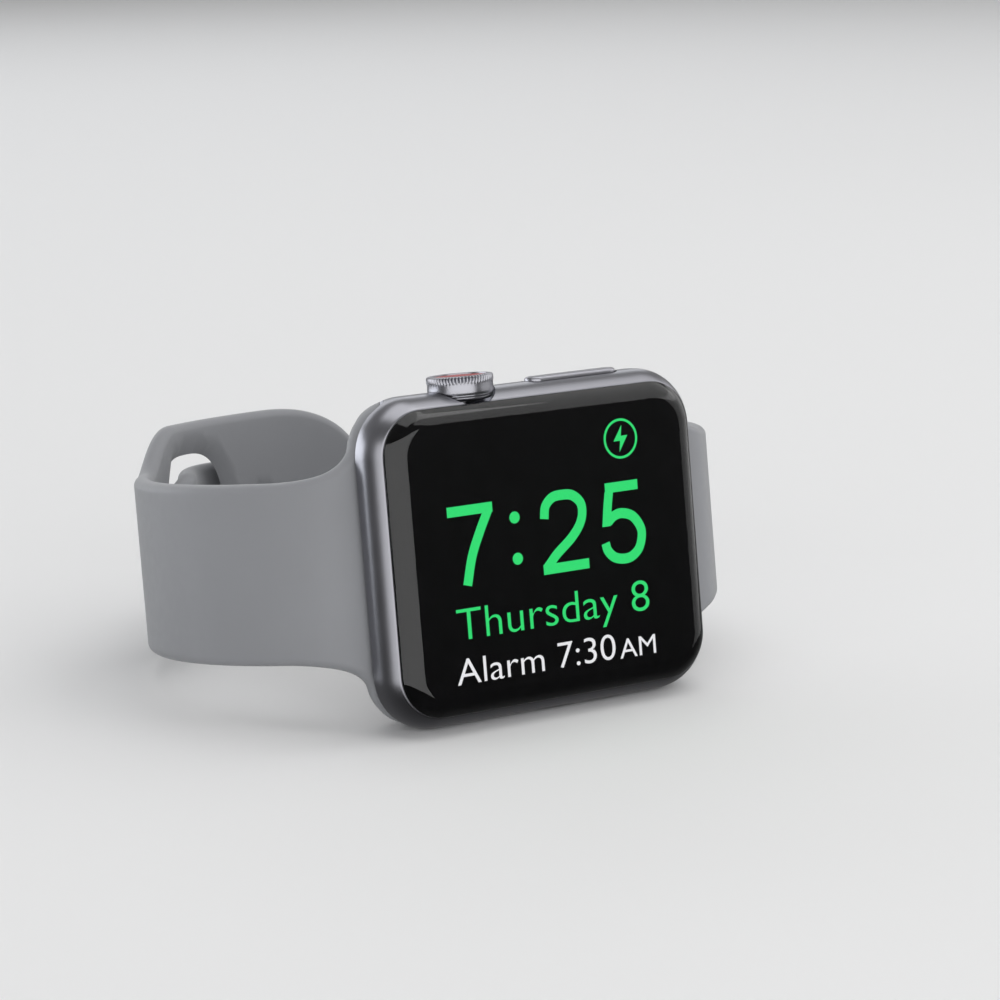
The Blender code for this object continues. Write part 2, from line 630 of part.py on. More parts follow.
def strap_short():
    rings = lug_sections()
    angle = 360.0 - LUG_END_ANGLE
    while angle > SHORT_TIP_ANGLE + 7.0:
        rings.append(strap_section(loop_point(angle), loop_normal(angle), loop_rise(angle),
                                   thickness(360.0 - angle), with_flare(short_half(angle), 360.0 - angle)))
        angle -= 4.1
    for angle in (SHORT_TIP_ANGLE + away for away in (5.0, 3.0, 1.6, 0.7, 0.15)):
        thick = STRAP_THICK * (0.55 + 0.45 * smooth(SHORT_TIP_ANGLE - 1.0, SHORT_TIP_ANGLE + 4.0, angle))
        rings.append(strap_section(loop_point(angle), loop_normal(angle), loop_rise(angle),
                                   thick, short_half(angle)))
    strap = loft("strap_short", rings, elastomer())
    point, normal = loop_frame(PIN_ANGLE)
    cut(strap, opening_cutter(),
        cylinder("cut_pin_hole", 1.25, (-3.0, 3.0), point, normal),
        cylinder("cut_pin_recess", 3.15, (-3.0, -0.4), point, normal, steps=32))
    lug_latch(strap, -1, "short")


def long_frame(angle):
    """Middle of the long strap at a loop angle, and its own outward normal."""
    before = loop_point(angle - 0.5, long_offset(angle - 0.5))
    after = loop_point(angle + 0.5, long_offset(angle + 0.5))
    tangent = (after - before).normalized()
    point = loop_point(angle, long_offset(angle))
    point.z = loop_rise(angle)
    return point, Vector((tangent.y, -tangent.x, 0.0))


def hole_angles():
    """Loop angles of the adjustment holes, spaced evenly on both sides of the pin."""
    angles = [PIN_ANGLE]
    for direction in (-1, 1):
        angle = PIN_ANGLE
        travelled = 0.0
        last = long_frame(angle)[0]
        for index in range(1, 4):
            while travelled < HOLE_PITCH * index:
                angle += 0.1 * direction
                here = long_frame(angle)[0]
                travelled += (here - last).length
                last = here
            angles.append(angle)
    return sorted(angles)


def strap_long():
    rings = mirror_x(lug_sections())
    angle = LUG_END_ANGLE
    while angle < LONG_TIP_ANGLE - 6.0:
        point, normal = long_frame(angle)
        rings.append(strap_section(point, normal, point.z, thickness(angle),
                                   with_flare(long_half(angle), angle)))
        angle += 4.1 if angle < 160.0 else 3.1
    for away in (5.0, 3.2, 1.8, 0.9, 0.25):
        angle = LONG_TIP_ANGLE - away
        point, normal = long_frame(angle)
        rings.append(strap_section(point, normal, point.z, STRAP_THICK * 0.85, long_half(angle)))
    strap = loft("strap_long", rings, elastomer())
    for index, angle in enumerate(hole_angles()):
        point, normal = long_frame(angle)
        cut(strap, cylinder("cut_strap_hole_%d" % (index + 1), HOLE_RADIUS, (-3.0, 3.0), point, normal, steps=12))
    lug_latch(strap, 1, "long")


def clasp_pin():
    point, normal = loop_frame(PIN_ANGLE)
    head = OVERLAP + 0.5 * STRAP_THICK + 0.15
    profile = [(0, -0.95), (0.5, -0.95), (0.5, -0.3), (1.05, -0.3), (1.05, head), (1.95, head + 0.05),
               (2.05, head + 0.25), (1.8, head + 0.6), (1.2, head + 0.75), (0, head + 0.8)]
    turned("clasp_pin", profile, point, normal, steel(), 24)
    tube("clasp_pin_plate", 0.75, 2.85, (-1.05, -0.6), point, normal, steel(), 28)


# ------------------------------------------------------------------ posture

def stand_on_table():
    """Shift the leaning frame so the whole watch stands on Z = 0, centred in X and Y."""
    bpy.context.view_layer.update()
    graph = bpy.context.evaluated_depsgraph_get()
    corners = []
    for obj in bpy.context.scene.objects:
        if obj.type != "MESH" or obj.hide_render:
            continue
        solid = obj.evaluated_get(graph)
        corners += [solid.matrix_world @ vertex.co for vertex in solid.data.vertices]
    low = [min(corner[axis] for corner in corners) for axis in range(3)]
    high = [max(corner[axis] for corner in corners) for axis in range(3)]
    frame.location = (-0.5 * (low[0] + high[0]), -0.5 * (low[1] + high[1]), -low[2])


case_shell()
cover_glass()
display_stack()
power_and_logic()
speaker_meshes()
rear_parts()
crown()
side_button()
release_buttons()
strap_short()
strap_long()
clasp_pin()
stand_on_table()
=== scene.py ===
"""Looks of the smartwatch: fine surfaces, materials, clock face, floor, lights and camera.

Shapes are worked out in the watch's own frame, in millimetres: X across the
display (12 o'clock is -X), Y into the depth from the front glass, Z up to the
crown.  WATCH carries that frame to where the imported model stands.
"""
import json
from bisect import bisect_right
from math import asin, atan2, copysign, cos, pi, radians, sin, sqrt, tau

import bmesh
import bpy
from mathutils import Matrix, Vector, geometry, kdtree


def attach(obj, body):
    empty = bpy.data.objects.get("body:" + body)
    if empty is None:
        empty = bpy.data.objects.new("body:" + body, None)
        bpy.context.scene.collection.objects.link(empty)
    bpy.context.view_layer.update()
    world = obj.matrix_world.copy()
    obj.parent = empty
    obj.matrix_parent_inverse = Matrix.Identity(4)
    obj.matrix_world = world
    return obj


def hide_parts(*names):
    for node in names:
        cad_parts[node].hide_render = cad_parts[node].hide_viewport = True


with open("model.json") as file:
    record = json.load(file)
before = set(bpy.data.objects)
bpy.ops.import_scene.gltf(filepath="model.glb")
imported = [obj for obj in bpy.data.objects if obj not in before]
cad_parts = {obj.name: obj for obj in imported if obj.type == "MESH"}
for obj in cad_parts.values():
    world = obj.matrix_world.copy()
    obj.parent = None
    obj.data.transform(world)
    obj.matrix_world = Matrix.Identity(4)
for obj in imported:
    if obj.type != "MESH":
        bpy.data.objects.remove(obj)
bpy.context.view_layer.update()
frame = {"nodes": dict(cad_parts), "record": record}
nodes = frame["nodes"]
mounts = {mount["name"]: mount for mount in frame["record"]["mounts"]}
front = Vector(mounts["display_face"]["axis"])
LEAN = atan2(front.z, -front.y)
ORIGIN = Vector(mounts["display_face"]["pos_m"])
MM = 0.001
WATCH = Matrix.Translation(ORIGIN) @ Matrix.Rotation(-LEAN, 4, "X") @ Matrix.Scale(MM, 4)

# Case
HALF_X, HALF_Z, CORNER, OUTLINE_STEPS = 21.25, 18.2, 6.4, 20
SEAM_DEPTH, SEAM_INSET = 1.6, 1.35
WIDEST_DEPTH, WIDEST_END = 4.7, 5.4
BACK_DEPTH, BACK_INSET = 9.3, 3.2
SIDE_POWER = 2.2
GLASS_FLAT_INSET, GLASS_UNDERSIDE = 3.7, 1.5
RECESS_HALF, LEDGE_DEPTH = (18.25, 15.2), 3.1
INNER_HALF, INNER_BACK = (15.3, 14.9), 8.1
REAR_HOLE_RADIUS, REAR_COVER_RADIUS, WINDOW_RADIUS = 14.3, 14.0, 9.35
COVER_EDGE, DOME_HEIGHT = 9.2, 1.35
CRYSTAL_RADIUS, CRYSTAL_DEPTH, CRYSTAL_EDGE = 9.1, 10.9, 10.5
LENS_RADIUS, LENS_CIRCLE, LENS_EDGE = 2.25, 4.7, 10.8
CHANNEL_X, CHANNEL_DEPTH, CHANNEL_RADIUS = 18.3, 6.85, 1.95
MOUTH_HALF, BULB_RADIUS = 1.75, 1.7
NECK_THICK, RELEASE_X, RELEASE_HALF = 2.5, 15.85, (1.0, 3.3)
# Crown and side button
CROWN_X, SIDE_DEPTH = -7.35, 5.05
CROWN_RADIUS, CROWN_TEETH, TOOTH_POINTS, FACE_RADIUS = 3.7, 60, 8, 2.96
CROWN_BASE_Z, CROWN_TOP_Z, CROWN_RECESS_Z = 17.0, 19.8, 16.5
BUTTON_X, BUTTON_HALF, BUTTON_TOP_Z, BUTTON_ROUND = 7.0, (5.8, 1.25), 18.62, 0.36
CROWN_WELL = 0.12           # gap around the crown in its recess
BUTTON_WELL = 0.22          # gap around the side button
RELEASE_WELL = 0.25         # gap around a release button
# Strap loop: an ellipse, 0 degrees at the case, 180 at the clasp
LOOP_A, LOOP_B, LOOP_CENTRE_Y = 33.1, 28.7, 27.0
PADDLE_SHOULDER = (220.0, 240.0)   # where the paddle narrows to the strap
RISE = (120.0, 172.0)              # where the loop rises to the paddle's height
CLIMB = (132.0, 163.5)             # where the long strap goes outside the short one
DROP = (202.0, 226.0)              # and where it passes through the opening
TAIL_TAPER = (110.0, 182.0)
SHORT_TIP_REACH, LONG_TIP_REACH = 26.0, 12.0   # degrees over which a tip is rounded
STRAP_THICK, STRAP_HALF, PADDLE_HALF, PADDLE_RISE, TAIL_HALF = 2.2, 10.0, 12.7, 1.9, 7.1
LUG_EXTRA, FLARE_LENGTH = 0.25, 7.5            # thickness added at the lug, length of its flare
OVERLAP, LUG_END_ANGLE = 2.6, 50.0
OPENING_ANGLE, OPENING_HALF = 214.0, (6.6, 8.9)
PIN_ANGLE, SHORT_TIP_ANGLE, LONG_TIP_ANGLE = 192.0, 165.0, 250.0
HOLE_PITCH, HOLE_RADIUS = 6.8, 1.5
# Strap mesh: rounding of the outer edge, spacings along the edge and inside it
EDGE_RADIUS, EDGE_ROWS, EDGE_STEP, GRID_STEP = 0.95, 7, 0.42, (0.75, 1.15)
BAND_STEP = 0.6                                # degrees between rows of a band
# Camera that fits the photograph's outline
CAMERA_AZIMUTH, CAMERA_ELEVATION, FITTED_LEAN = -32.4, 13.0, 8.6
CAMERA_ACROSS, CAMERA_ABOVE, CAMERA_DISTANCE = -6.01, 5.24, 395.5
CAMERA_LENS, CAMERA_SENSOR = 129.6, 36.0
# Lights, all turned to LIGHT_TARGET: name, place, size, power, colour
WHITE = (1.0, 1.0, 1.0)
LIGHT_TARGET = (0.0, 0.0, 0.02)
LIGHTS = (
    ("front_left_softbox", (-0.4, -0.75, 0.15), (1.95, 0.95), 9.6, WHITE),
    ("front_high_softbox", (0.565, -0.206, 0.62), (1.05, 0.85), 3.0, WHITE),
    ("top_softbox", (0.05, 0.02, 0.85), (0.8, 0.7), 2.6, WHITE),
    ("left_back_strip", (-0.45, 0.62, 0.06), (0.8, 0.4), 2.6, (0.93, 0.96, 1.0)),
    ("back_strip", (0.2, 0.75, 0.35), (0.9, 0.3), 1.0, (0.95, 0.97, 1.0)),
    ("right_softbox", (0.8, -0.14, 0.14), (1.25, 0.6), 1.6, WHITE),
)
DEEP, UP = (0, 1, 0), (0, 0, 1)


def placed(name, data):
    obj = bpy.data.objects.new(name, data)
    bpy.context.collection.objects.link(obj)
    return obj


# ---- camera

def photo_camera():
    """Camera at the photograph's angle; it keeps its place relative to the glass."""
    azimuth, elevation = radians(CAMERA_AZIMUTH), radians(CAMERA_ELEVATION)
    back = Vector((sin(azimuth) * cos(elevation),
                   -cos(azimuth) * cos(elevation), sin(elevation)))
    right = Vector((cos(azimuth), sin(azimuth), 0.0))
    up = back.cross(right)
    spot = (right * CAMERA_ACROSS + up * CAMERA_ABOVE + back * CAMERA_DISTANCE) * MM
    turn = Matrix((right, up, back)).transposed().to_4x4()
    tilt = Matrix.Rotation(radians(FITTED_LEAN) - LEAN, 4, "X")
    data = bpy.data.cameras.new("photo_camera")
    data.lens = CAMERA_LENS
    data.sensor_width = CAMERA_SENSOR
    data.clip_start = 0.01
    data.clip_end = 20.0
    camera = placed("photo_camera", data)
    camera.matrix_world = Matrix.Translation(ORIGIN) @ tilt @ Matrix.Translation(spot) @ turn
    bpy.context.scene.camera = camera


# ---- materials

def socket(node, name, value):
    node.inputs[name].default_value = value


def map_range(tree, value, start, end, low, high):
    node = tree.nodes.new("ShaderNodeMapRange")
    for name, number in (("From Min", start), ("From Max", end), ("To Min", low), ("To Max", high)):
        socket(node, name, number)
    tree.links.new(value, node.inputs["Value"])
    return node.outputs["Result"]


class Look:
    """A Principled material with its own node tree, fed by object coordinates."""

    def __init__(self, name, colour, roughness, metallic=0.0):
        self.material = bpy.data.materials.new(name)
        self.material.use_nodes = True
        self.nodes = self.material.node_tree.nodes
        self.links = self.material.node_tree.links
        self.shader = self.nodes["Principled BSDF"]
        self.colour = colour
        self.roughness = roughness
        socket(self.shader, "Base Color", (*colour, 1.0))
        socket(self.shader, "Roughness", roughness)
        socket(self.shader, "Metallic", metallic)
        self.coordinates = self.nodes.new("ShaderNodeTexCoord").outputs["Object"]
        self.height = None

    def noise(self, per_mm, detail=3.0, stretch=(1.0, 1.0, 1.0)):
        """Noise with about per_mm blobs to a millimetre."""
        mapping = self.nodes.new("ShaderNodeMapping")
        socket(mapping, "Scale", [per_mm / MM * share for share in stretch])
        self.links.new(self.coordinates, mapping.inputs["Vector"])
        texture = self.nodes.new("ShaderNodeTexNoise")
        socket(texture, "Scale", 1.0)
        socket(texture, "Detail", detail)
        self.links.new(mapping.outputs["Vector"], texture.inputs["Vector"])
        return texture.outputs["Fac"]

    def remap(self, value, low, high):
        return map_range(self.material.node_tree, value, 0.3, 0.7, low, high)

    def mix(self, factor, first, second):
        """Colour mix; first and second are colours or sockets."""
        node = self.nodes.new("ShaderNodeMix")
        node.data_type = "RGBA"
        self.links.new(factor, node.inputs["Factor"])
        for value, name in ((first, "A"), (second, "B")):
            target = [s for s in node.inputs if s.name == name and s.type == "RGBA"][0]
            if isinstance(value, tuple):
                target.default_value = (*value, 1.0)
            else:
                self.links.new(value, target)
        return [s for s in node.outputs if s.type == "RGBA"][0]

    def blotches(self, per_mm, amount):
        """Slow changes of tone, darker and lighter by a share of the colour."""
        dark = tuple(c * (1.0 - amount) for c in self.colour)
        light = tuple(min(c * (1.0 + amount), 1.0) for c in self.colour)
        result = self.mix(self.remap(self.noise(per_mm, 2.0), 0.0, 1.0), dark, light)
        self.links.new(result, self.shader.inputs["Base Color"])
        return self

    def gloss(self, per_mm, spread, stretch=(1.0, 1.0, 1.0)):
        """Roughness that wanders by spread either way."""
        value = self.remap(self.noise(per_mm, 4.0, stretch), self.roughness - spread,
                           self.roughness + spread)
        self.links.new(value, self.shader.inputs["Roughness"])
        return self

    def grain(self, per_mm, depth_um, detail=3.0, stretch=(1.0, 1.0, 1.0), strength=1.0):
        """Bump of the given depth in micrometres."""
        bump = self.nodes.new("ShaderNodeBump")
        socket(bump, "Strength", strength)
        socket(bump, "Distance", depth_um * 1e-6)
        self.links.new(self.noise(per_mm, detail, stretch), bump.inputs["Height"])
        if self.height:
            self.links.new(self.height, bump.inputs["Normal"])
        self.height = bump.outputs["Normal"]
        self.links.new(self.height, self.shader.inputs["Normal"])
        return self


# key, name, colour, roughness, metallic, then what blotches, gloss and grain are given
PLAIN_LOOKS = (
    ("anodised", "satin_dark_aluminium", (0.29, 0.29, 0.315), 0.3, 1.0,
     (0.06, 0.03), (0.3, 0.012), (16.0, 0.25, 2.0)),
    ("crown_metal", "crown_dark_aluminium", (0.36, 0.36, 0.39), 0.3, 1.0,
     (0.2, 0.03), (0.2, 0.01), (2.0, 0.1, 1.0)),
    ("steel", "fine_brushed_steel", (0.6, 0.6, 0.62), 0.24, 1.0,
     (0.5, 0.06), (1.5, 0.06, (1.0, 6.0, 1.0)), (8.0, 0.8, 2.0, (0.2, 3.0, 3.0))),
    ("rubber", "grey_strap_elastomer", (0.252, 0.257, 0.272), 0.52, 0.0,
     (0.05, 0.035), (0.8, 0.05), (9.0, 5.0, 4.0)),
    ("glass", "cover_glass_clear", (0.97, 0.975, 0.98), 0.015, 0.0,
     (0.05, 0.004), None, (0.1, 0.1, 1.0)),
    ("bonded", "bonded_black_layer", (0.0045, 0.0045, 0.005), 0.6, 0.0,
     (0.5, 0.2), None, (12.0, 0.8)),
    ("panel", "dark_display", (0.006, 0.006, 0.0065), 0.18, 0.0,
     (0.5, 0.15), None, (20.0, 0.3)),
    ("polymer", "black_moulded_polymer", (0.02, 0.02, 0.022), 0.5, 0.0,
     (0.8, 0.15), (3.0, 0.06), (12.0, 4.0)),
    ("ceramic", "black_rear_ceramic", (0.012, 0.012, 0.014), 0.14, 0.0,
     (0.3, 0.15), (0.8, 0.03), (0.3, 1.0, 1.0)),
    ("crystal", "smoked_crystal", (0.03, 0.03, 0.034), 0.05, 0.0,
     (0.3, 0.1), (0.8, 0.02), (0.2, 0.5, 1.0)),
    ("lens", "sensor_lens_dark_green", (0.008, 0.018, 0.012), 0.06, 0.0,
     (1.2, 0.3), (1.2, 0.03), (0.5, 0.5, 1.0)),
    ("board", "green_solder_mask", (0.012, 0.06, 0.035), 0.38, 0.0,
     (1.0, 0.35), (2.0, 0.08), (3.0, 10.0)),
    ("amber", "amber_flex_film", (0.4, 0.16, 0.03), 0.35, 0.0,
     (1.0, 0.2), (2.0, 0.06), (5.0, 3.0)),
    ("foil", "battery_foil", (0.45, 0.45, 0.47), 0.34, 0.8,
     (0.4, 0.1), (1.0, 0.08), (0.6, 30.0)),
    ("copper", "enamelled_winding", (0.62, 0.26, 0.1), 0.3, 0.9,
     (0.8, 0.15), (2.0, 0.06), (6.0, 12.0, 2.0)),
    ("red", "red_lacquer", (0.42, 0.035, 0.035), 0.3, 0.0,
     (0.6, 0.08), (2.0, 0.05), (10.0, 1.5)),
)
SHADER_SETTINGS = {
    "rubber": (("Sheen Weight", 0.18), ("Sheen Roughness", 0.45), ("Specular IOR Level", 0.38)),
    "glass": (("Transmission Weight", 1.0), ("IOR", 1.5)),
    "bonded": (("Specular IOR Level", 0.0),),
    "crystal": (("Coat Weight", 0.6), ("Coat Roughness", 0.03)),
    "lens": (("Coat Weight", 1.0), ("Coat Roughness", 0.02)),
    "red": (("Specular IOR Level", 0.15),),
}


def make_looks():
    """Every look by its key; dress_nodes and the pieces take them from here."""
    looks = {}
    for key, name, colour, roughness, metallic, blotches, gloss, grain in PLAIN_LOOKS:
        look = Look(name, colour, roughness, metallic).blotches(*blotches)
        if gloss:
            look.gloss(*gloss)
        looks[key] = look.grain(*grain)
        for setting, value in SHADER_SETTINGS.get(key, ()):
            socket(look.shader, setting, value)
    looks["rubber"].grain(0.35, 14.0, 2.0, strength=0.35)
    looks["mesh"] = woven_mesh()
    looks["green_light"] = lit("green_figures", (0.018, 0.73, 0.165))
    looks["white_light"] = lit("white_figures", (0.82, 0.82, 0.84))
    return looks


def woven_mesh():
    """Fine dark steel weave behind the speaker slots."""
    look = Look("speaker_weave", (0.09, 0.09, 0.1), 0.42, 0.8).blotches(2.0, 0.2)
    highest = look.nodes.new("ShaderNodeMath")
    highest.operation = "MAXIMUM"
    for index, direction in enumerate(("X", "Y")):
        wave = look.nodes.new("ShaderNodeTexWave")
        wave.bands_direction = direction
        socket(wave, "Scale", 1100.0)
        look.links.new(look.coordinates, wave.inputs["Vector"])
        look.links.new(wave.outputs["Fac"], highest.inputs[index])
    bump = look.nodes.new("ShaderNodeBump")
    socket(bump, "Distance", 30e-6)
    look.links.new(highest.outputs["Value"], bump.inputs["Height"])
    look.links.new(bump.outputs["Normal"], look.shader.inputs["Normal"])
    return look


def lit(name, colour):
    """Glowing figures of the display, with a faint change from pixel to pixel."""
    look = Look(name, tuple(c * 0.05 for c in colour), 0.5)
    low = tuple(c * 0.94 for c in colour)
    tone = look.mix(look.remap(look.noise(6.0, 2.0), 0.0, 1.0), low, colour)
    look.links.new(tone, look.shader.inputs["Emission Color"])
    socket(look.shader, "Emission Strength", 1.0)
    return look


# ---- mesh building

def piece(name, bm, look, body, replaced=(), sharp=32.0):
    """Turn a bmesh in the watch's frame into a piece that rides on a CAD body."""
    bmesh.ops.transform(bm, matrix=WATCH, verts=bm.verts)
    bmesh.ops.recalc_face_normals(bm, faces=bm.faces)
    mesh = bpy.data.meshes.new(name)
    bm.to_mesh(mesh)
    bm.free()
    mesh.shade_smooth()
    mesh.set_sharp_from_angle(angle=radians(sharp))
    mesh.materials.append(LOOKS[look].material)
    obj = placed(name, mesh)
    if body:
        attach(obj, body)
    if replaced:
        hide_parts(*replaced)
    return obj


def skin(rings, closed=False):
    """Bmesh through rings of equally many points: capped, or closed end to end."""
    bm = bmesh.new()
    loops = [[bm.verts.new(point) for point in ring] for ring in rings]
    for lower, upper in zip(loops, loops[1:] + loops[:1] * closed):
        count = len(lower)
        for i in range(count):
            j = (i + 1) % count
            bm.faces.new((lower[i], lower[j], upper[j], upper[i]))
    if not closed:
        bm.faces.new(loops[0])
        bm.faces.new(loops[-1])
    return bm


def turned(profile, centre, axis, steps=96, ring=False):
    """Bmesh of a (radius, height) profile turned about an axis through centre."""
    turn = Vector(axis).normalized().to_track_quat("Z", "Y").to_matrix()
    bm = bmesh.new()
    columns = []
    for radius, height in profile:
        column = []
        for step in range(1 if radius == 0.0 else steps):
            angle = tau * step / steps
            spot = Vector((radius * cos(angle), radius * sin(angle), height))
            column.append(bm.verts.new(Vector(centre) + turn @ spot))
        columns.append(column)
    for lower, upper in zip(columns, columns[1:] + columns[:1] * ring):
        for i in range(steps):
            j = (i + 1) % steps
            if len(lower) == 1:
                bm.faces.new((lower[0], upper[j], upper[i]))
            elif len(upper) == 1:
                bm.faces.new((lower[i], lower[j], upper[0]))
            else:
                bm.faces.new((lower[i], lower[j], upper[j], upper[i]))
    return bm


def plug(radius, low, high, centre, axis, steps):
    """Closed cylinder between two heights along an axis through centre."""
    return turned([(0, low), (radius, low), (radius, high), (0, high)], centre, axis, steps)


def rounded_rect(half_x, half_z, radius, steps=12):
    points = []
    for quarter, (sx, sz) in enumerate(((1, 1), (-1, 1), (-1, -1), (1, -1))):
        x, z = sx * (half_x - radius), sz * (half_z - radius)
        for step in range(steps + 1):
            angle = radians(90 * quarter + 90 * step / steps)
            points.append((x + radius * cos(angle), z + radius * sin(angle)))
    return points


def rounded_profile(points, radius, steps=5):
    """Replace each inner corner of a (radius, height) profile by a small arc."""
    result = [points[0]]
    for before, here, after in zip(points, points[1:], points[2:]):
        here_v = Vector(here)
        one = Vector(before) - here_v
        two = Vector(after) - here_v
        reach = min(radius, 0.45 * one.length, 0.45 * two.length)
        start = here_v + one.normalized() * reach
        end = here_v + two.normalized() * reach
        for step in range(steps + 1):
            share = step / steps
            spot = start * (1 - share) ** 2 + here_v * 2 * share * (1 - share) + end * share ** 2
            result.append((spot.x, spot.y))
    result.append(points[-1])
    return result


def cut(obj, cutters):
    """Subtract closed bmeshes, in the watch's frame, from a piece and apply it."""
    made = []
    for index, bm in enumerate(cutters):
        cutter = piece("cutter_%d" % index, bm, "polymer", None)
        modifier = obj.modifiers.new("cut", "BOOLEAN")
        modifier.operation = "DIFFERENCE"
        modifier.solver = "EXACT"
        modifier.object = cutter
        made.append(cutter)
    bpy.context.view_layer.update()
    graph = bpy.context.evaluated_depsgraph_get()
    mesh = bpy.data.meshes.new_from_object(obj.evaluated_get(graph))
    obj.modifiers.clear()
    obj.data = mesh
    for cutter in made:
        bpy.data.objects.remove(cutter)
    mesh.shade_smooth()
    mesh.set_sharp_from_angle(angle=radians(32))


def smooth(low, high, value):
    share = min(max((value - low) / (high - low), 0.0), 1.0)
    return share * share * (3.0 - 2.0 * share)


# ---- case

def case_inset(depth):
    if depth < WIDEST_DEPTH:
        share = (WIDEST_DEPTH - depth) / (WIDEST_DEPTH - SEAM_DEPTH)
        return SEAM_INSET * share ** SIDE_POWER
    if depth > WIDEST_END:
        share = (depth - WIDEST_END) / (BACK_DEPTH - WIDEST_END)
        return BACK_INSET * (1.0 - sqrt(max(1.0 - share ** SIDE_POWER, 0.0)))
    return 0.0


def case_outline(inset, depth):
    outline = rounded_rect(HALF_X - inset, HALF_Z - inset, max(CORNER - inset, 2.2), OUTLINE_STEPS)
    return [(x, depth, z) for x, z in outline]


def case_half_height(x):
    along = min(max(abs(x) - (HALF_X - CORNER), 0.0), CORNER)
    return HALF_Z - CORNER + sqrt(CORNER ** 2 - along ** 2)


def upright(centre, half, radius, heights):
    """Upright block with rounded corners."""
    outline = rounded_rect(*half, radius)
    return skin([[(centre[0] + x, centre[1] + y, z) for x, y in outline] for z in heights])


def channel_cutter(side):
    half_angle = asin(MOUTH_HALF / CHANNEL_RADIUS)
    rings = []
    for z in (-20.0, 20.0):
        ring = [(side * (CHANNEL_X + 4.0), CHANNEL_DEPTH + half, z)
                for half in (-MOUTH_HALF, MOUTH_HALF)]
        for step in range(33):
            angle = half_angle + (tau - 2.0 * half_angle) * step / 32
            ring.append((side * (CHANNEL_X + CHANNEL_RADIUS * cos(angle)),
                         CHANNEL_DEPTH + CHANNEL_RADIUS * sin(angle), z))
        rings.append(ring)
    return skin(rings)


def case_body():
    """One closed shell: outer side, back, round rear hole and the display recess."""
    start = SEAM_DEPTH + 0.06
    depths = [start + (WIDEST_DEPTH - start) * (i / 14) ** 1.3 for i in range(15)]
    depths.append(WIDEST_END)
    depths += [WIDEST_END + (BACK_DEPTH - WIDEST_END) * sin(radians(90 * i / 16))
               for i in range(1, 17)]
    rings = [case_outline(SEAM_INSET + 0.1, SEAM_DEPTH),
             case_outline(SEAM_INSET + 0.02, SEAM_DEPTH + 0.02)]
    rings += [case_outline(case_inset(depth), depth) for depth in depths]
    back = case_outline(BACK_INSET + 0.5, BACK_DEPTH)
    rings.append(back)
    for depth in (BACK_DEPTH, INNER_BACK + 0.05):
        rings.append([(x * 0.5, depth, z * 0.5) for x, _, z in back])
    for half, radius, depth in ((INNER_HALF, 2.5, INNER_BACK), (INNER_HALF, 2.5, LEDGE_DEPTH),
                                (RECESS_HALF, 4.0, LEDGE_DEPTH), (RECESS_HALF, 4.0, SEAM_DEPTH)):
        rings.append([(x, depth, z) for x, z in rounded_rect(*half, radius, OUTLINE_STEPS)])
    body = piece("case_body", skin(rings, closed=True), "anodised", "case",
                 ["case_shell"], 28)
    rear_hole = [(0, 7.6), (REAR_HOLE_RADIUS, 7.6), (REAR_HOLE_RADIUS, BACK_DEPTH - 0.12),
                 (REAR_HOLE_RADIUS + 0.17, BACK_DEPTH + 0.05), (REAR_HOLE_RADIUS + 0.17, 10.5),
                 (0, 10.5)]
    at_crown, at_button = (CROWN_X, SIDE_DEPTH, 0), (BUTTON_X, SIDE_DEPTH, 0)
    cutters = [
        turned(rear_hole, (0, 0, 0), DEEP, 160),
        plug(CROWN_RADIUS + CROWN_WELL, CROWN_RECESS_Z, 19.2, at_crown, UP, 72),
        plug(2.0, 13.9, 17.9, at_crown, UP, 40),
        upright(at_button, [half + BUTTON_WELL for half in BUTTON_HALF], BUTTON_HALF[1] + 0.18,
                (17.2, 20.0)),
        plug(0.95, 13.9, 18.0, at_button, UP, 24),
        plug(0.5, -20, -14, (12.6, SIDE_DEPTH, 0), UP, 24),   # microphone
        channel_cutter(-1), channel_cutter(1),
    ]
    for x in (1.4, 7.8):   # speaker slots
        cutters.append(upright((x, SIDE_DEPTH), (2.7, 0.6), 0.58, (-20.0, -14.0)))
    for side in (-1, 1):
        outline = rounded_rect(*RELEASE_HALF, 0.9)
        cutters.append(skin([[(side * RELEASE_X + x, y, z) for x, z in outline]
                             for y in (8.55, 10.3)]))
    cut(body, cutters)


def glass_and_display():
    rings = [case_outline(GLASS_FLAT_INSET + away, 0.0) for away in (2.0, 0.8, 0.25)]
    for step in range(29):
        share = step / 28
        inset = GLASS_FLAT_INSET + (SEAM_INSET + 0.05 - GLASS_FLAT_INSET) * share
        rings.append(case_outline(inset, (GLASS_UNDERSIDE - 0.15) * share ** SIDE_POWER))
    rings.append(case_outline(SEAM_INSET + 0.06, GLASS_UNDERSIDE - 0.08))
    rings.append(case_outline(SEAM_INSET + 0.12, GLASS_UNDERSIDE))
    piece("front_glass", skin(rings), "glass", "case", ["cover_glass"], 50)
    rings = [case_outline(SEAM_INSET + 0.12, depth) for depth in (1.4, 1.46)]
    piece("bonded_black_layer", skin(rings), "bonded", "case")


# ---- clock face

FIGURE_DEPTH = 1.385   # on the black layer, inside the glass
STROKE = 1.12          # width of the numerals' strokes


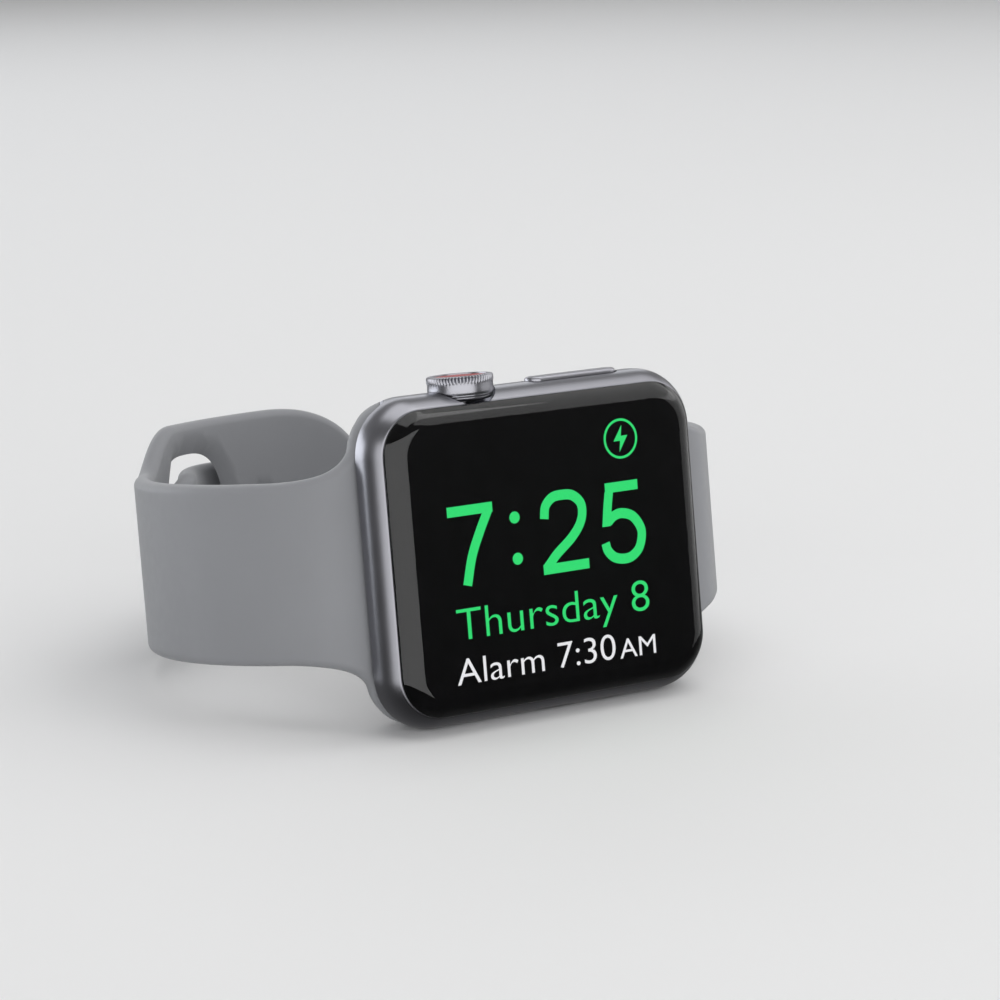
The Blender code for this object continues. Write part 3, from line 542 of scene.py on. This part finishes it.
def writing(name, text, look, left, right, baseline, height, bold):
    """A line of plain figures stretched between two edges, cap height in millimetres."""
    data = bpy.data.curves.new(name, "FONT")
    data.body = text
    data.size = 1.0
    data.offset = bold
    data.resolution_u = 6
    source = placed(name + "_source", data)
    bpy.context.view_layer.update()
    graph = bpy.context.evaluated_depsgraph_get()
    mesh = bpy.data.meshes.new_from_object(source.evaluated_get(graph))
    bpy.data.objects.remove(source)
    bm = bmesh.new()
    bm.from_mesh(mesh)
    bpy.data.meshes.remove(mesh)
    low = min(v.co.x for v in bm.verts)
    high = max(v.co.x for v in bm.verts)
    tall = max(v.co.y for v in bm.verts)
    for vert in bm.verts:
        x = left + (vert.co.x - low) / (high - low) * (right - left)
        vert.co = (x, FIGURE_DEPTH, baseline + vert.co.y / tall * height)
    piece(name, bm, look, "case")


# Strokes of the numerals in a unit box: points and whether each end is cut level.
SEVEN = (
    ([(0.0, 1.0), (1.2, 1.0)], False, False),
    ([(1.065, 0.95), (0.82, 0.69), (0.57, 0.38), (0.39, 0.0)], True, False),
)
TWO = (
    ([(0.02, 0.7), (0.07, 0.87), (0.25, 0.98), (0.49, 1.0), (0.74, 0.975), (0.93, 0.86),
      (0.96, 0.71), (0.87, 0.55), (0.64, 0.38), (0.28, 0.2), (0.06, 0.06)], False, True),
    ([(-0.09, 0.0), (1.04, 0.0)], False, False),
)
FIVE = (
    ([(0.1, 1.0), (0.98, 1.0)], False, False),
    ([(0.2, 0.95), (0.13, 0.72), (0.07, 0.475)], True, True),
    ([(0.13, 0.535), (0.28, 0.605), (0.5, 0.63), (0.78, 0.57), (0.97, 0.41), (0.99, 0.27),
      (0.89, 0.11), (0.68, 0.015), (0.45, 0.0), (0.22, 0.04), (0.06, 0.14), (0.01, 0.25)],
     False, False),
)


def smooth_path(points, steps=8):
    """Curve through the points."""
    if len(points) < 3:
        return points
    padded = [points[0] * 2 - points[1], *points, points[-1] * 2 - points[-2]]
    path = []
    for a, b, c, d in zip(padded, padded[1:], padded[2:], padded[3:]):
        for step in range(steps):
            t = step / steps
            path.append(0.5 * (2 * b + (c - a) * t + (2 * a - 5 * b + 4 * c - d) * t ** 2
                               + (3 * b - a - 3 * c + d) * t ** 3))
    return path + [points[-1]]


def digit(name, strokes, corner, size):
    """A numeral drawn with strokes of even width, as flat ribbons."""
    half = 0.5 * STROKE
    low = Vector(corner) + Vector((half, half))
    inner = (size[0] - STROKE, size[1] - STROKE)
    bm = bmesh.new()
    for layer, (points, level_start, level_end) in enumerate(strokes):
        path = smooth_path([low + Vector((x * inner[0], z * inner[1])) for x, z in points])
        last = len(path) - 1
        rails = []
        for i, point in enumerate(path):
            along = (path[min(i + 1, last)] - path[max(i - 1, 0)]).normalized()
            side = Vector((-along.y, along.x)) * half
            if (i == 0 and level_start) or (i == last and level_end):
                side = Vector((copysign(half / max(abs(along.y), 0.4), side.x), 0.0))
            rails.append([bm.verts.new((spot.x, FIGURE_DEPTH - 0.0005 * layer, spot.y))
                          for spot in (point + side, point - side)])
        for a, b in zip(rails, rails[1:]):
            bm.faces.new((a[0], a[1], b[1], b[0]))
    piece(name, bm, "green_light", "case")


def clock_face():
    green, white = "green_light", "white_light"
    digit("time_hour", SEVEN, (-13.45, -3.35), (5.95, 9.3))
    digit("time_tens", TWO, (-1.2, -2.95), (6.45, 9.1))
    digit("time_units", FIVE, (6.65, -3.05), (6.1, 9.2))
    for index, z in enumerate((3.85, -0.7), 1):
        dot = plug(0.66, 0, 0.02, (-4.35, FIGURE_DEPTH - 0.02, z), DEEP, 32)
        piece("time_dot_%d" % index, dot, green, "case")
    writing("date_line", "Thursday 8", green, -12.75, 12.5, -8.65, 3.45, -0.008)
    writing("alarm_line", "Alarm 7:30", white, -13.25, 7.5, -13.5, 2.85, -0.006)
    writing("alarm_half", "AM", white, 8.05, 12.9, -13.6, 2.15, -0.002)
    sign_x, sign_z = 10.3, 10.9
    ring = turned([(1.97, 0), (2.24, 0), (2.24, 0.02), (1.97, 0.02)],
                  (sign_x, FIGURE_DEPTH - 0.02, sign_z), DEEP, 72, ring=True)
    piece("charge_ring", ring, green, "case")
    bm = bmesh.new()
    bolt = ((0.25, 1.5), (-0.95, -0.25), (-0.08, -0.25), (-0.25, -1.5), (0.95, 0.3), (0.08, 0.3))
    bm.faces.new([bm.verts.new((sign_x + x, FIGURE_DEPTH, sign_z + z)) for x, z in bolt])
    piece("charge_bolt", bm, green, "case")


# ---- crown and button

def crown():
    count = CROWN_TEETH * TOOTH_POINTS

    def ring(radius, height, tooth=0.0):
        points = []
        for i in range(count):
            angle = tau * i / count
            share = abs((i % TOOTH_POINTS) / TOOTH_POINTS * 2.0 - 1.0)
            r = radius - tooth * (1.0 - min(share * 1.5, 1.0))
            points.append((CROWN_X + r * cos(angle), SIDE_DEPTH + r * sin(angle), height))
        return points

    base, top, barrel = CROWN_BASE_Z + 0.02, CROWN_TOP_Z, CROWN_RADIUS - 0.06
    levels = [(2.0 - barrel, 0.0), (-0.75, 0.0), (-0.5, 0.06), (-0.3, 0.18), (-0.19, 0.3)]
    for groove in (0.32, 0.58):
        levels += [(-0.3, groove), (-0.3, groove + 0.06), (-0.1, groove + 0.08),
                   (-0.06, groove + 0.2)]
    levels += [(-0.03, 0.84), (0.0, 1.0), (0.0, 1.4)]
    rings = [ring(barrel + out, base + height) for out, height in levels]
    rings += [ring(barrel - 0.02, top - 0.98), ring(barrel + 0.01, top - 0.82, 0.02)]
    for inset, down, tooth in ((0.01, 0.68, 0.08), (0.0, 0.55, 0.17), (0.0, 0.3, 0.24),
                               (0.04, 0.14, 0.24), (0.12, 0.05, 0.22), (0.24, 0.01, 0.16),
                               (0.42, 0.0, 0.02)):
        rings.append(ring(CROWN_RADIUS - inset, top - down, tooth))
    for radius, down in ((3.14, 0.0), (3.09, 0.03), (3.08, 0.08), (3.08, 0.35), (1.5, 0.35)):
        rings.append(ring(radius, top - down))
    piece("crown_knob", skin(rings), "crown_metal", "crown",
          ["crown_dial"], 40)
    disc = [(0, -0.32), (FACE_RADIUS, -0.32), (FACE_RADIUS, -0.24)]
    disc += [(FACE_RADIUS - 0.12 * sin(turn), -0.24 + 0.08 * (1 - cos(turn)))
             for turn in map(radians, (20, 45, 70, 90))]
    disc += [(1.2, -0.15), (0, -0.145)]
    piece("crown_red_face", turned(disc, (CROWN_X, SIDE_DEPTH, top), UP), "red", "crown",
          ["crown_face_disc"], 40)


def side_button():
    shoulder = BUTTON_TOP_Z - BUTTON_ROUND
    levels = [(0.3, 17.75), (0.06, 17.78), (0.0, 17.9), (0.0, shoulder)]
    levels += [(BUTTON_ROUND * (1 - cos(turn)), shoulder + BUTTON_ROUND * sin(turn))
               for turn in map(radians, range(10, 91, 10))]
    levels += [(0.5, BUTTON_TOP_Z - 0.004), (0.75, BUTTON_TOP_Z - 0.01)]
    rings = []
    for inset, z in levels:
        half_y = BUTTON_HALF[1] - inset
        outline = rounded_rect(BUTTON_HALF[0] - inset, half_y, half_y - 0.01, 14)
        rings.append([(BUTTON_X + x, SIDE_DEPTH + y, z) for x, y in outline])
    piece("side_button_plate", skin(rings), "crown_metal", "side_button",
          ["side_button_cap"], 45)


# ---- back

def back_parts():
    rim = REAR_COVER_RADIUS - 0.1
    profile = [(WINDOW_RADIUS, 8.3), (REAR_COVER_RADIUS, 8.3),
               (REAR_COVER_RADIUS, COVER_EDGE - 0.1),
               (REAR_COVER_RADIUS - 0.03, COVER_EDGE - 0.04), (rim, COVER_EDGE)]
    for step in range(1, 25):
        share = step / 24
        profile.append((rim + (WINDOW_RADIUS + 0.1 - rim) * share,
                        COVER_EDGE + DOME_HEIGHT * sin(0.5 * pi * share)))
    profile.append((WINDOW_RADIUS, CRYSTAL_EDGE))
    piece("rear_dome", turned(profile, (0, 0, 0), DEEP, 144, ring=True), "ceramic", "case",
          ["rear_cover"])
    outline = [(0, 9.75), (CRYSTAL_RADIUS, 9.75), (CRYSTAL_RADIUS, CRYSTAL_EDGE)]
    outline += [(CRYSTAL_RADIUS - 0.8 + 0.8 * cos(turn), CRYSTAL_EDGE + 0.4 * sin(turn))
                for turn in map(radians, range(10, 91, 10))]
    outline += [(CRYSTAL_RADIUS - 2.0, CRYSTAL_DEPTH), (0, CRYSTAL_DEPTH)]
    crystal = piece("rear_crystal", turned(outline, (0, 0, 0), DEEP, 144), "crystal", "case",
                    ["sensor_crystal"])
    holes = []
    for index in range(1, 5):
        angle = radians(90 * index - 45)
        spot = (LENS_CIRCLE * cos(angle), 0, LENS_CIRCLE * sin(angle))
        holes.append(plug(LENS_RADIUS + 0.12, 9.0, 12.0, spot, DEEP, 56))
        lens = [(0, 9.85), (LENS_RADIUS, 9.85), (LENS_RADIUS, LENS_EDGE)]
        lens += [(LENS_RADIUS * cos(turn), LENS_EDGE + 0.3 * sin(turn))
                 for turn in map(radians, range(10, 90, 10))]
        lens.append((0, LENS_EDGE + 0.3))
        piece("rear_lens_%d" % index, turned(lens, spot, DEEP, 56), "lens", "case",
              ["sensor_lens_%d" % index])
    cut(crystal, holes)
    top = BACK_DEPTH + 0.05
    levels = ((0.1, 8.95), (0.0, 9.05), (0.0, top - 0.15), (0.02, top - 0.08), (0.07, top - 0.02),
              (0.15, top), (0.35, top - 0.01), (0.55, top - 0.03))
    for side, label in ((-1, "short"), (1, "long")):
        rings = []
        for inset, depth in levels:
            half_x, half_z = (half - RELEASE_WELL - inset for half in RELEASE_HALF)
            rings.append([(side * RELEASE_X + x, depth, z)
                          for x, z in rounded_rect(half_x, half_z, 0.7 - inset)])
        piece("release_pad_" + label, skin(rings), "anodised", "release_" + label,
              ["release_button_" + label], 45)


# ---- straps

def loop_normal(angle):
    turn = radians(angle)
    return Vector((LOOP_B * sin(turn), -LOOP_A * cos(turn))).normalized()


def loop_point(angle, offset=0.0):
    turn = radians(angle)
    spot = Vector((LOOP_A * sin(turn), LOOP_CENTRE_Y - LOOP_B * cos(turn)))
    return spot + loop_normal(angle) * offset


def loop_rise(angle):
    return PADDLE_RISE * smooth(*RISE, angle) * (1.0 - smooth(*PADDLE_SHOULDER, angle))


def long_offset(angle):
    return OVERLAP * (smooth(*CLIMB, angle) - 2.0 * smooth(*DROP, angle))


def short_half(angle):
    half = STRAP_HALF + (PADDLE_HALF - STRAP_HALF) * (1.0 - smooth(*PADDLE_SHOULDER, angle))
    along = max(1.0 - (angle - SHORT_TIP_ANGLE) / SHORT_TIP_REACH, 0.0)
    return half * sqrt(max(1.0 - along ** 2.6, 0.0)) ** 0.8


def long_half(angle):
    half = STRAP_HALF - (STRAP_HALF - TAIL_HALF) * smooth(*TAIL_TAPER, angle)
    along = max(1.0 - (LONG_TIP_ANGLE - angle) / LONG_TIP_REACH, 0.0)
    return half * sqrt(max(1.0 - along ** 2.4, 0.0))


def long_frame(angle):
    before = loop_point(angle - 0.5, long_offset(angle - 0.5))
    after = loop_point(angle + 0.5, long_offset(angle + 0.5))
    tangent = (after - before).normalized()
    return loop_point(angle, long_offset(angle)), Vector((tangent.y, -tangent.x))


def lug_path(share):
    """Curve from the channel's centre line to the loop, for the -X strap."""
    start = Vector((-CHANNEL_X, CHANNEL_DEPTH))
    end = loop_point(-LUG_END_ANGLE)
    turn = radians(LUG_END_ANGLE)
    arrive = Vector((-LOOP_A * cos(turn), LOOP_B * sin(turn))).normalized()
    first = start + Vector((-2.8, -0.15))
    second = end - arrive * 2.6
    rest = 1.0 - share
    point = (rest ** 3 * start + 3 * rest ** 2 * share * first + 3 * rest * share ** 2 * second
             + share ** 3 * end)
    tangent = (3 * rest ** 2 * (first - start) + 6 * rest * share * (second - first)
               + 3 * share ** 2 * (end - second)).normalized()
    return point, Vector((-tangent.y, tangent.x))


def flare_half(x):
    """Half width of the neck: as the case at its end, narrowing to the strap."""
    if abs(x) < HALF_X - 0.35:
        return case_half_height(x) - 0.15
    edge = case_half_height(HALF_X - 0.35) - 0.15
    away = min((abs(x) - HALF_X + 0.35) / FLARE_LENGTH, 1.0)
    return STRAP_HALF + (edge - STRAP_HALF) * (1.0 - sqrt(1.0 - (1.0 - away) ** 2))


def loop_thickness(angle):
    return STRAP_THICK + LUG_EXTRA * (1.0 - smooth(LUG_END_ANGLE, 90.0, angle))


class Band:
    """Middle surface of a strap: arc length s along it, v across it."""

    def __init__(self):
        self.rows = []   # (s, point, normal, rise, thickness, half width, loop angle)

    def add(self, point, normal, rise, thick, half, angle=None):
        s = 0.0
        if self.rows:
            s = self.rows[-1][0] + (point - self.rows[-1][1]).length
        self.rows.append((s, point.copy(), normal.copy(), rise, thick, half, angle))

    def lug(self):
        """Round bulb in the case's channel and the flared neck, for the -X side."""
        for step in range(13):
            away = -cos(radians(116.7 * step / 12))
            x = -CHANNEL_X - away * BULB_RADIUS
            thick = 2.0 * BULB_RADIUS * sqrt(max(1.0 - away ** 2, 0.0))
            self.add(Vector((x, CHANNEL_DEPTH)), Vector((0.0, -1.0)), 0.0, thick,
                     case_half_height(x) - 0.2)
        for step in range(31):
            share = 0.22 + 0.77 * step / 30
            point, normal = lug_path(share)
            gain = STRAP_THICK + LUG_EXTRA - NECK_THICK
            thick = NECK_THICK + gain * smooth(0.35, 1.0, share)
            self.add(point, normal, 0.0, thick, flare_half(point.x))

    def mirrored(self):
        flipped = Band()
        for s, point, normal, *others in self.rows:
            flipped.rows.append((s, Vector((-point.x, point.y)), Vector((-normal.x, normal.y)),
                                 *others))
        return flipped

    def at(self, s):
        """Everything but the half width, between the two nearest rows."""
        rows = self.rows
        high = bisect_right(rows, s, 1, len(rows) - 1, key=lambda row: row[0])
        a, b = rows[high - 1], rows[high]
        share = min(max((s - a[0]) / max(b[0] - a[0], 1e-9), 0.0), 1.0)
        point = a[1].lerp(b[1], share)
        normal = a[2].lerp(b[2], share).normalized()
        return point, normal, a[3] + (b[3] - a[3]) * share, a[4] + (b[4] - a[4]) * share

    def length_at(self, angle):
        rows = [row for row in self.rows if row[6] is not None]
        return min(rows, key=lambda row: abs(row[6] - angle))[0]


def resample(points, spacing):
    """Points at even steps along an open polyline."""
    total = [0.0]
    for a, b in zip(points, points[1:]):
        total.append(total[-1] + (b - a).length)
    count = max(int(total[-1] / spacing), 2)
    result = []
    index = 0
    for step in range(count + 1):
        want = total[-1] * step / count
        while index < len(points) - 2 and total[index + 1] < want:
            index += 1
        share = (want - total[index]) / max(total[index + 1] - total[index], 1e-9)
        result.append(points[index].lerp(points[index + 1], min(share, 1.0)))
    return result


def inside(point, polygon):
    """Even-odd test of a point in a closed polygon."""
    x, y = point
    result = False
    for (xj, yj), (xi, yi) in zip(polygon[-1:] + polygon, polygon):
        if (yi > y) != (yj > y) and x < (xj - xi) * (y - yi) / (yj - yi) + xi:
            result = not result
    return result


def flat_drawing(band, holes):
    """Points of the strap laid flat in (s, v), each with its share of the full thickness.

    Around the outline and every hole stand rows that rise to the full thickness
    in a quarter round; a grid fills what is left.  Also returns the edges between
    the points and the outline.
    """
    upper = [Vector((row[0], row[5])) for row in band.rows]
    lower = [Vector((row[0], -row[5])) for row in reversed(band.rows)]
    rim = resample(upper + lower, EDGE_STEP)
    start = resample([rim[-1], rim[0]], 0.8)[1:-1]
    flat = [(position, 0.0) for position in rim + start]
    edges = [(i, (i + 1) % len(flat)) for i in range(len(flat))]
    outline = [tuple(position) for position in rim + start]
    loops = [(rim, False, EDGE_RADIUS)] + [(hole, True, radius) for hole, radius in holes]
    spots = [position for loop, _, _ in loops for position in loop]
    near = kdtree.KDTree(len(spots))
    for serial, position in enumerate(spots):
        near.insert((position.x, position.y, 0.0), serial)
    near.balance()
    for loop, closed, radius in loops:
        count = len(loop)
        if closed:
            first = len(flat)
            flat += [(position, 0.0) for position in loop]
            edges += [(first + i, first + (i + 1) % count) for i in range(count)]
        for row in range(1, EDGE_ROWS + 1):
            turn = radians(90.0 * row / EDGE_ROWS)
            away, full = radius * (1.0 - cos(turn)), sin(turn)
            first = last = None
            for i in range(count):
                if not closed and i in (0, count - 1):
                    position = loop[i] + Vector((0.0, -away if i == 0 else away))
                else:
                    tangent = (loop[(i + 1) % count] - loop[i - 1]).normalized()
                    position = loop[i] + Vector((tangent.y, -tangent.x)) * away
                gap = near.find((position.x, position.y, 0.0))[2]
                if gap < away * 0.97 or position.x < -1e-6:
                    last = None
                    continue
                flat.append((position, full))
                here = len(flat) - 1
                if last is not None:
                    edges.append((last, here))
                if first is None:
                    first = (i, here)
                last = here
            if closed and last is not None and first and first[0] == 0:
                edges.append((last, first[1]))
    widest = max(row[5] for row in band.rows)
    s = 0.45
    while s < band.rows[-1][0]:
        v = -widest
        while v < widest:
            gap = near.find((s, v, 0.0))[2]
            if gap > EDGE_RADIUS + 0.25 and in_strap((s, v), outline, holes):
                flat.append((Vector((s, v)), 1.0))
            v += GRID_STEP[1]
        s += GRID_STEP[0]
    return flat, edges, outline


def in_strap(point, outline, holes):
    return inside(point, outline) and not any(inside(point, hole) for hole, _ in holes)


def moulded_band(band, holes, recess=None):
    """Closed strap mesh whose outer edge and holes are all rounded.

    The flat drawing is triangulated and laid on both faces, which meet in a half
    round along every edge.  recess is a round pocket in the inner face.
    """
    flat, edges, outline = flat_drawing(band, holes)
    spots = [position for position, _ in flat]
    verts, _, faces, origins, _, _ = geometry.delaunay_2d_cdt(spots, edges, [], 0, 1e-5)
    share = [min(flat[i][1] for i in origin) if origin else 1.0 for origin in origins]
    bm = bmesh.new()
    outer, inner = [], []
    for vert, full in zip(verts, share):
        point, normal, rise, thick = band.at(vert.x)
        half = 0.5 * thick * full
        down = -half
        if recess and (vert - recess[0]).length < recess[1]:
            down = max(down, -recess[2])
        for side, height in ((outer, half), (inner, down)):
            if side is inner and full == 0.0:
                side.append(outer[-1])
            else:
                side.append(bm.verts.new((point.x + normal.x * height, point.y + normal.y * height,
                                          rise + vert.y)))
    for face in faces:
        middle = sum((verts[i] for i in face), Vector((0.0, 0.0))) / 3
        if in_strap(tuple(middle), outline, holes):
            bm.faces.new([outer[i] for i in face])
            if any(share[i] > 0.0 for i in face):
                bm.faces.new([inner[i] for i in reversed(face)])
    loose = [v for v in bm.verts if not v.link_faces]
    bmesh.ops.delete(bm, geom=loose, context="VERTS")
    return bm


def round_hole(s, radius, steps=40):
    """Clockwise circle in (s, v)."""
    turns = [-tau * i / steps for i in range(steps)]
    return [Vector((s + radius * cos(turn), radius * sin(turn))) for turn in turns]


def oval_hole(s):
    """Clockwise superellipse in (s, v), resampled evenly."""
    points = []
    for i in range(300):
        c, d = cos(-tau * i / 300), sin(-tau * i / 300)
        points.append(Vector((s + OPENING_HALF[0] * copysign(abs(c) ** (2 / 3), c),
                              OPENING_HALF[1] * copysign(abs(d) ** (2 / 3), d))))
    return resample(points + [points[0]], EDGE_STEP)[:-1]


def hole_angles():
    """Loop angles of the long strap's holes, evenly spaced from the pin both ways."""
    angles = [PIN_ANGLE]
    for direction in (-1, 1):
        angle, travelled = PIN_ANGLE, 0.0
        last = long_frame(angle)[0]
        for index in range(1, 4):
            while travelled < HOLE_PITCH * index:
                angle += 0.1 * direction
                here = long_frame(angle)[0]
                travelled += (here - last).length
                last = here
            angles.append(angle)
    return sorted(angles)


def band_angles(start, tip, reach, sign):
    """Even angles from start on, then closer and closer up to the rounded tip."""
    angles = []
    while (tip - start) * sign > reach:
        angles.append(start)
        start += BAND_STEP * sign
    angles += [tip - sign * reach * (1.0 - i / 26) ** 2.2 for i in range(26)]
    return angles + [tip - sign * 0.0004]


def straps():
    short = Band()
    short.lug()
    long = short.mirrored()
    for angle in band_angles(360.0 - LUG_END_ANGLE, SHORT_TIP_ANGLE, 12.0, -1):
        thick = loop_thickness(360.0 - angle)
        thick *= 0.62 + 0.38 * smooth(SHORT_TIP_ANGLE - 1.0, SHORT_TIP_ANGLE + 5.0, angle)
        point = loop_point(angle)
        half = max(short_half(angle), flare_half(point.x)) if angle > 290.0 else short_half(angle)
        short.add(point, loop_normal(angle), loop_rise(angle), thick, half, angle)
    pin = short.length_at(PIN_ANGLE)
    holes = [(oval_hole(short.length_at(OPENING_ANGLE)), 0.7), (round_hole(pin, 1.25, 32), 0.25)]
    bm = moulded_band(short, holes, (Vector((pin, 0.0)), 3.15, 0.4))
    piece("strap_band_short", bm, "rubber", "short_strap",
          ["strap_short"], 60)
    for angle in band_angles(LUG_END_ANGLE, LONG_TIP_ANGLE, 8.0, 1):
        point, normal = long_frame(angle)
        thinning = smooth(LONG_TIP_ANGLE - 8.0, LONG_TIP_ANGLE - 4.0, angle)
        thick = loop_thickness(angle) * (1.0 - 0.15 * thinning)
        half = max(long_half(angle), flare_half(point.x)) if angle < 70.0 else long_half(angle)
        long.add(point, normal, loop_rise(angle), thick, half, angle)
    holes = [(round_hole(long.length_at(angle), HOLE_RADIUS), 0.3) for angle in hole_angles()]
    piece("strap_band_long", moulded_band(long, holes), "rubber", "long_strap",
          ["strap_long"], 60)


def clasp_pin():
    """Stud that holds the two straps, with its backing plate on the inside."""
    direction = loop_normal(PIN_ANGLE)
    spot = loop_point(PIN_ANGLE)
    point = (spot.x, spot.y, loop_rise(PIN_ANGLE))
    axis = (direction.x, direction.y, 0.0)
    head = OVERLAP + 0.5 * STRAP_THICK + 0.15
    stud = rounded_profile([(0, -0.95), (0.5, -0.95), (0.5, -0.3), (1.05, -0.3), (1.05, head),
                            (1.95, head + 0.03), (2.05, head + 0.3), (1.75, head + 0.66),
                            (0.0, head + 0.8)], 0.18)
    piece("pin_stud", turned(stud, point, axis, 72), "steel", "short_strap",
          ["clasp_pin"], 45)
    plate = rounded_profile([(0.75, -0.6), (2.85, -0.6), (2.85, -1.05), (0.75, -1.05)], 0.12)
    piece("pin_backing", turned(plate, point, axis, 72, ring=True), "steel", "short_strap",
          ["clasp_pin_plate"], 45)


# ---- carried-over nodes

def dress_nodes():
    """Materials of the CAD nodes that keep their shape."""
    by_look = {
        "steel": ("display_shield", "haptic_motor", "microphone", "antenna_bracket",
                  "bracket_screw_1", "bracket_screw_2", "bracket_screw_3", "alignment_magnet",
                  "crown_shaft", "crown_bushing", "crown_shear_plate", "side_button_stem",
                  "side_button_bracket", "lug_latch_short", "lug_latch_long"),
        "polymer": ("display_gasket", "force_sensor_gasket", "speaker_module", "coil_shield",
                    "crown_seal", "crown_switch", "side_button_switch"),
        "board": ("system_module", "sensor_board", "crown_encoder"),
        "amber": ("display_flex", "battery_flex"),
        "foil": ("battery_cell",),
        "copper": ("charging_coil",),
        "mesh": ("speaker_mesh_1", "speaker_mesh_2"),
        "panel": ("display_panel",),
    }
    for look, names in by_look.items():
        for name in names:
            mesh = nodes[name].data
            mesh.materials.clear()
            mesh.materials.append(LOOKS[look].material)


# ---- stage

def floor():
    """Pale matt floor that glass and metal do not mirror; it ends behind the front softbox."""
    low, high = (-2.5, -0.2), (2.5, 3.2)
    bm = bmesh.new()
    bm.faces.new([bm.verts.new((x, y, 0.0)) for x, y in
                  (low, (high[0], low[1]), high, (low[0], high[1]))])
    mesh = bpy.data.meshes.new("studio_floor")
    bm.to_mesh(mesh)
    bm.free()
    obj = placed("studio_floor", mesh)
    look = Look("pale_floor", (0.82, 0.82, 0.82), 0.75).blotches(0.002, 0.01)
    mesh.materials.append(look.material)
    obj.visible_glossy = False


def area_light(name, spot, size, power, colour):
    data = bpy.data.lights.new(name, "AREA")
    data.shape = "RECTANGLE"
    data.size, data.size_y = size
    data.energy = power
    data.color = colour
    obj = placed(name, data)
    obj.location = spot
    obj.rotation_mode = "QUATERNION"
    obj.rotation_quaternion = (Vector(LIGHT_TARGET) - Vector(spot)).to_track_quat("-Z", "Y")
    obj.visible_camera = False


def studio():
    """World that is even for the camera and darker below and in front for everything else."""
    world = bpy.data.worlds.new("studio_world")
    bpy.context.scene.world = world
    world.use_nodes = True
    tree = world.node_tree
    background = tree.nodes["Background"]
    direction = tree.nodes.new("ShaderNodeTexCoord").outputs["Generated"]
    parts = tree.nodes.new("ShaderNodeSeparateXYZ")
    tree.links.new(direction, parts.inputs["Vector"])
    both = tree.nodes.new("ShaderNodeMath")
    both.operation = "MULTIPLY"
    for index, (axis, *limits) in enumerate((("Y", -0.4, 0.5, 0.1, 0.3),
                                             ("Z", -0.06, 0.04, 0.5, 1.0))):
        tree.links.new(map_range(tree, parts.outputs[axis], *limits), both.inputs[index])
    path = tree.nodes.new("ShaderNodeLightPath")
    mix = tree.nodes.new("ShaderNodeMix")
    mix.data_type = "FLOAT"
    tree.links.new(path.outputs["Is Camera Ray"], mix.inputs["Factor"])
    tree.links.new(both.outputs["Value"], mix.inputs["A"])
    socket(mix, "B", 0.9)
    tree.links.new(mix.outputs["Result"], background.inputs["Strength"])
    socket(background, "Color", (*WHITE, 1.0))
    for light in LIGHTS:
        area_light(*light)


bpy.context.scene.view_settings.view_transform = "Standard"
photo_camera()
LOOKS = make_looks()
case_body()
glass_and_display()
clock_face()
crown()
side_button()
back_parts()
straps()
clasp_pin()
dress_nodes()
floor()
studio()
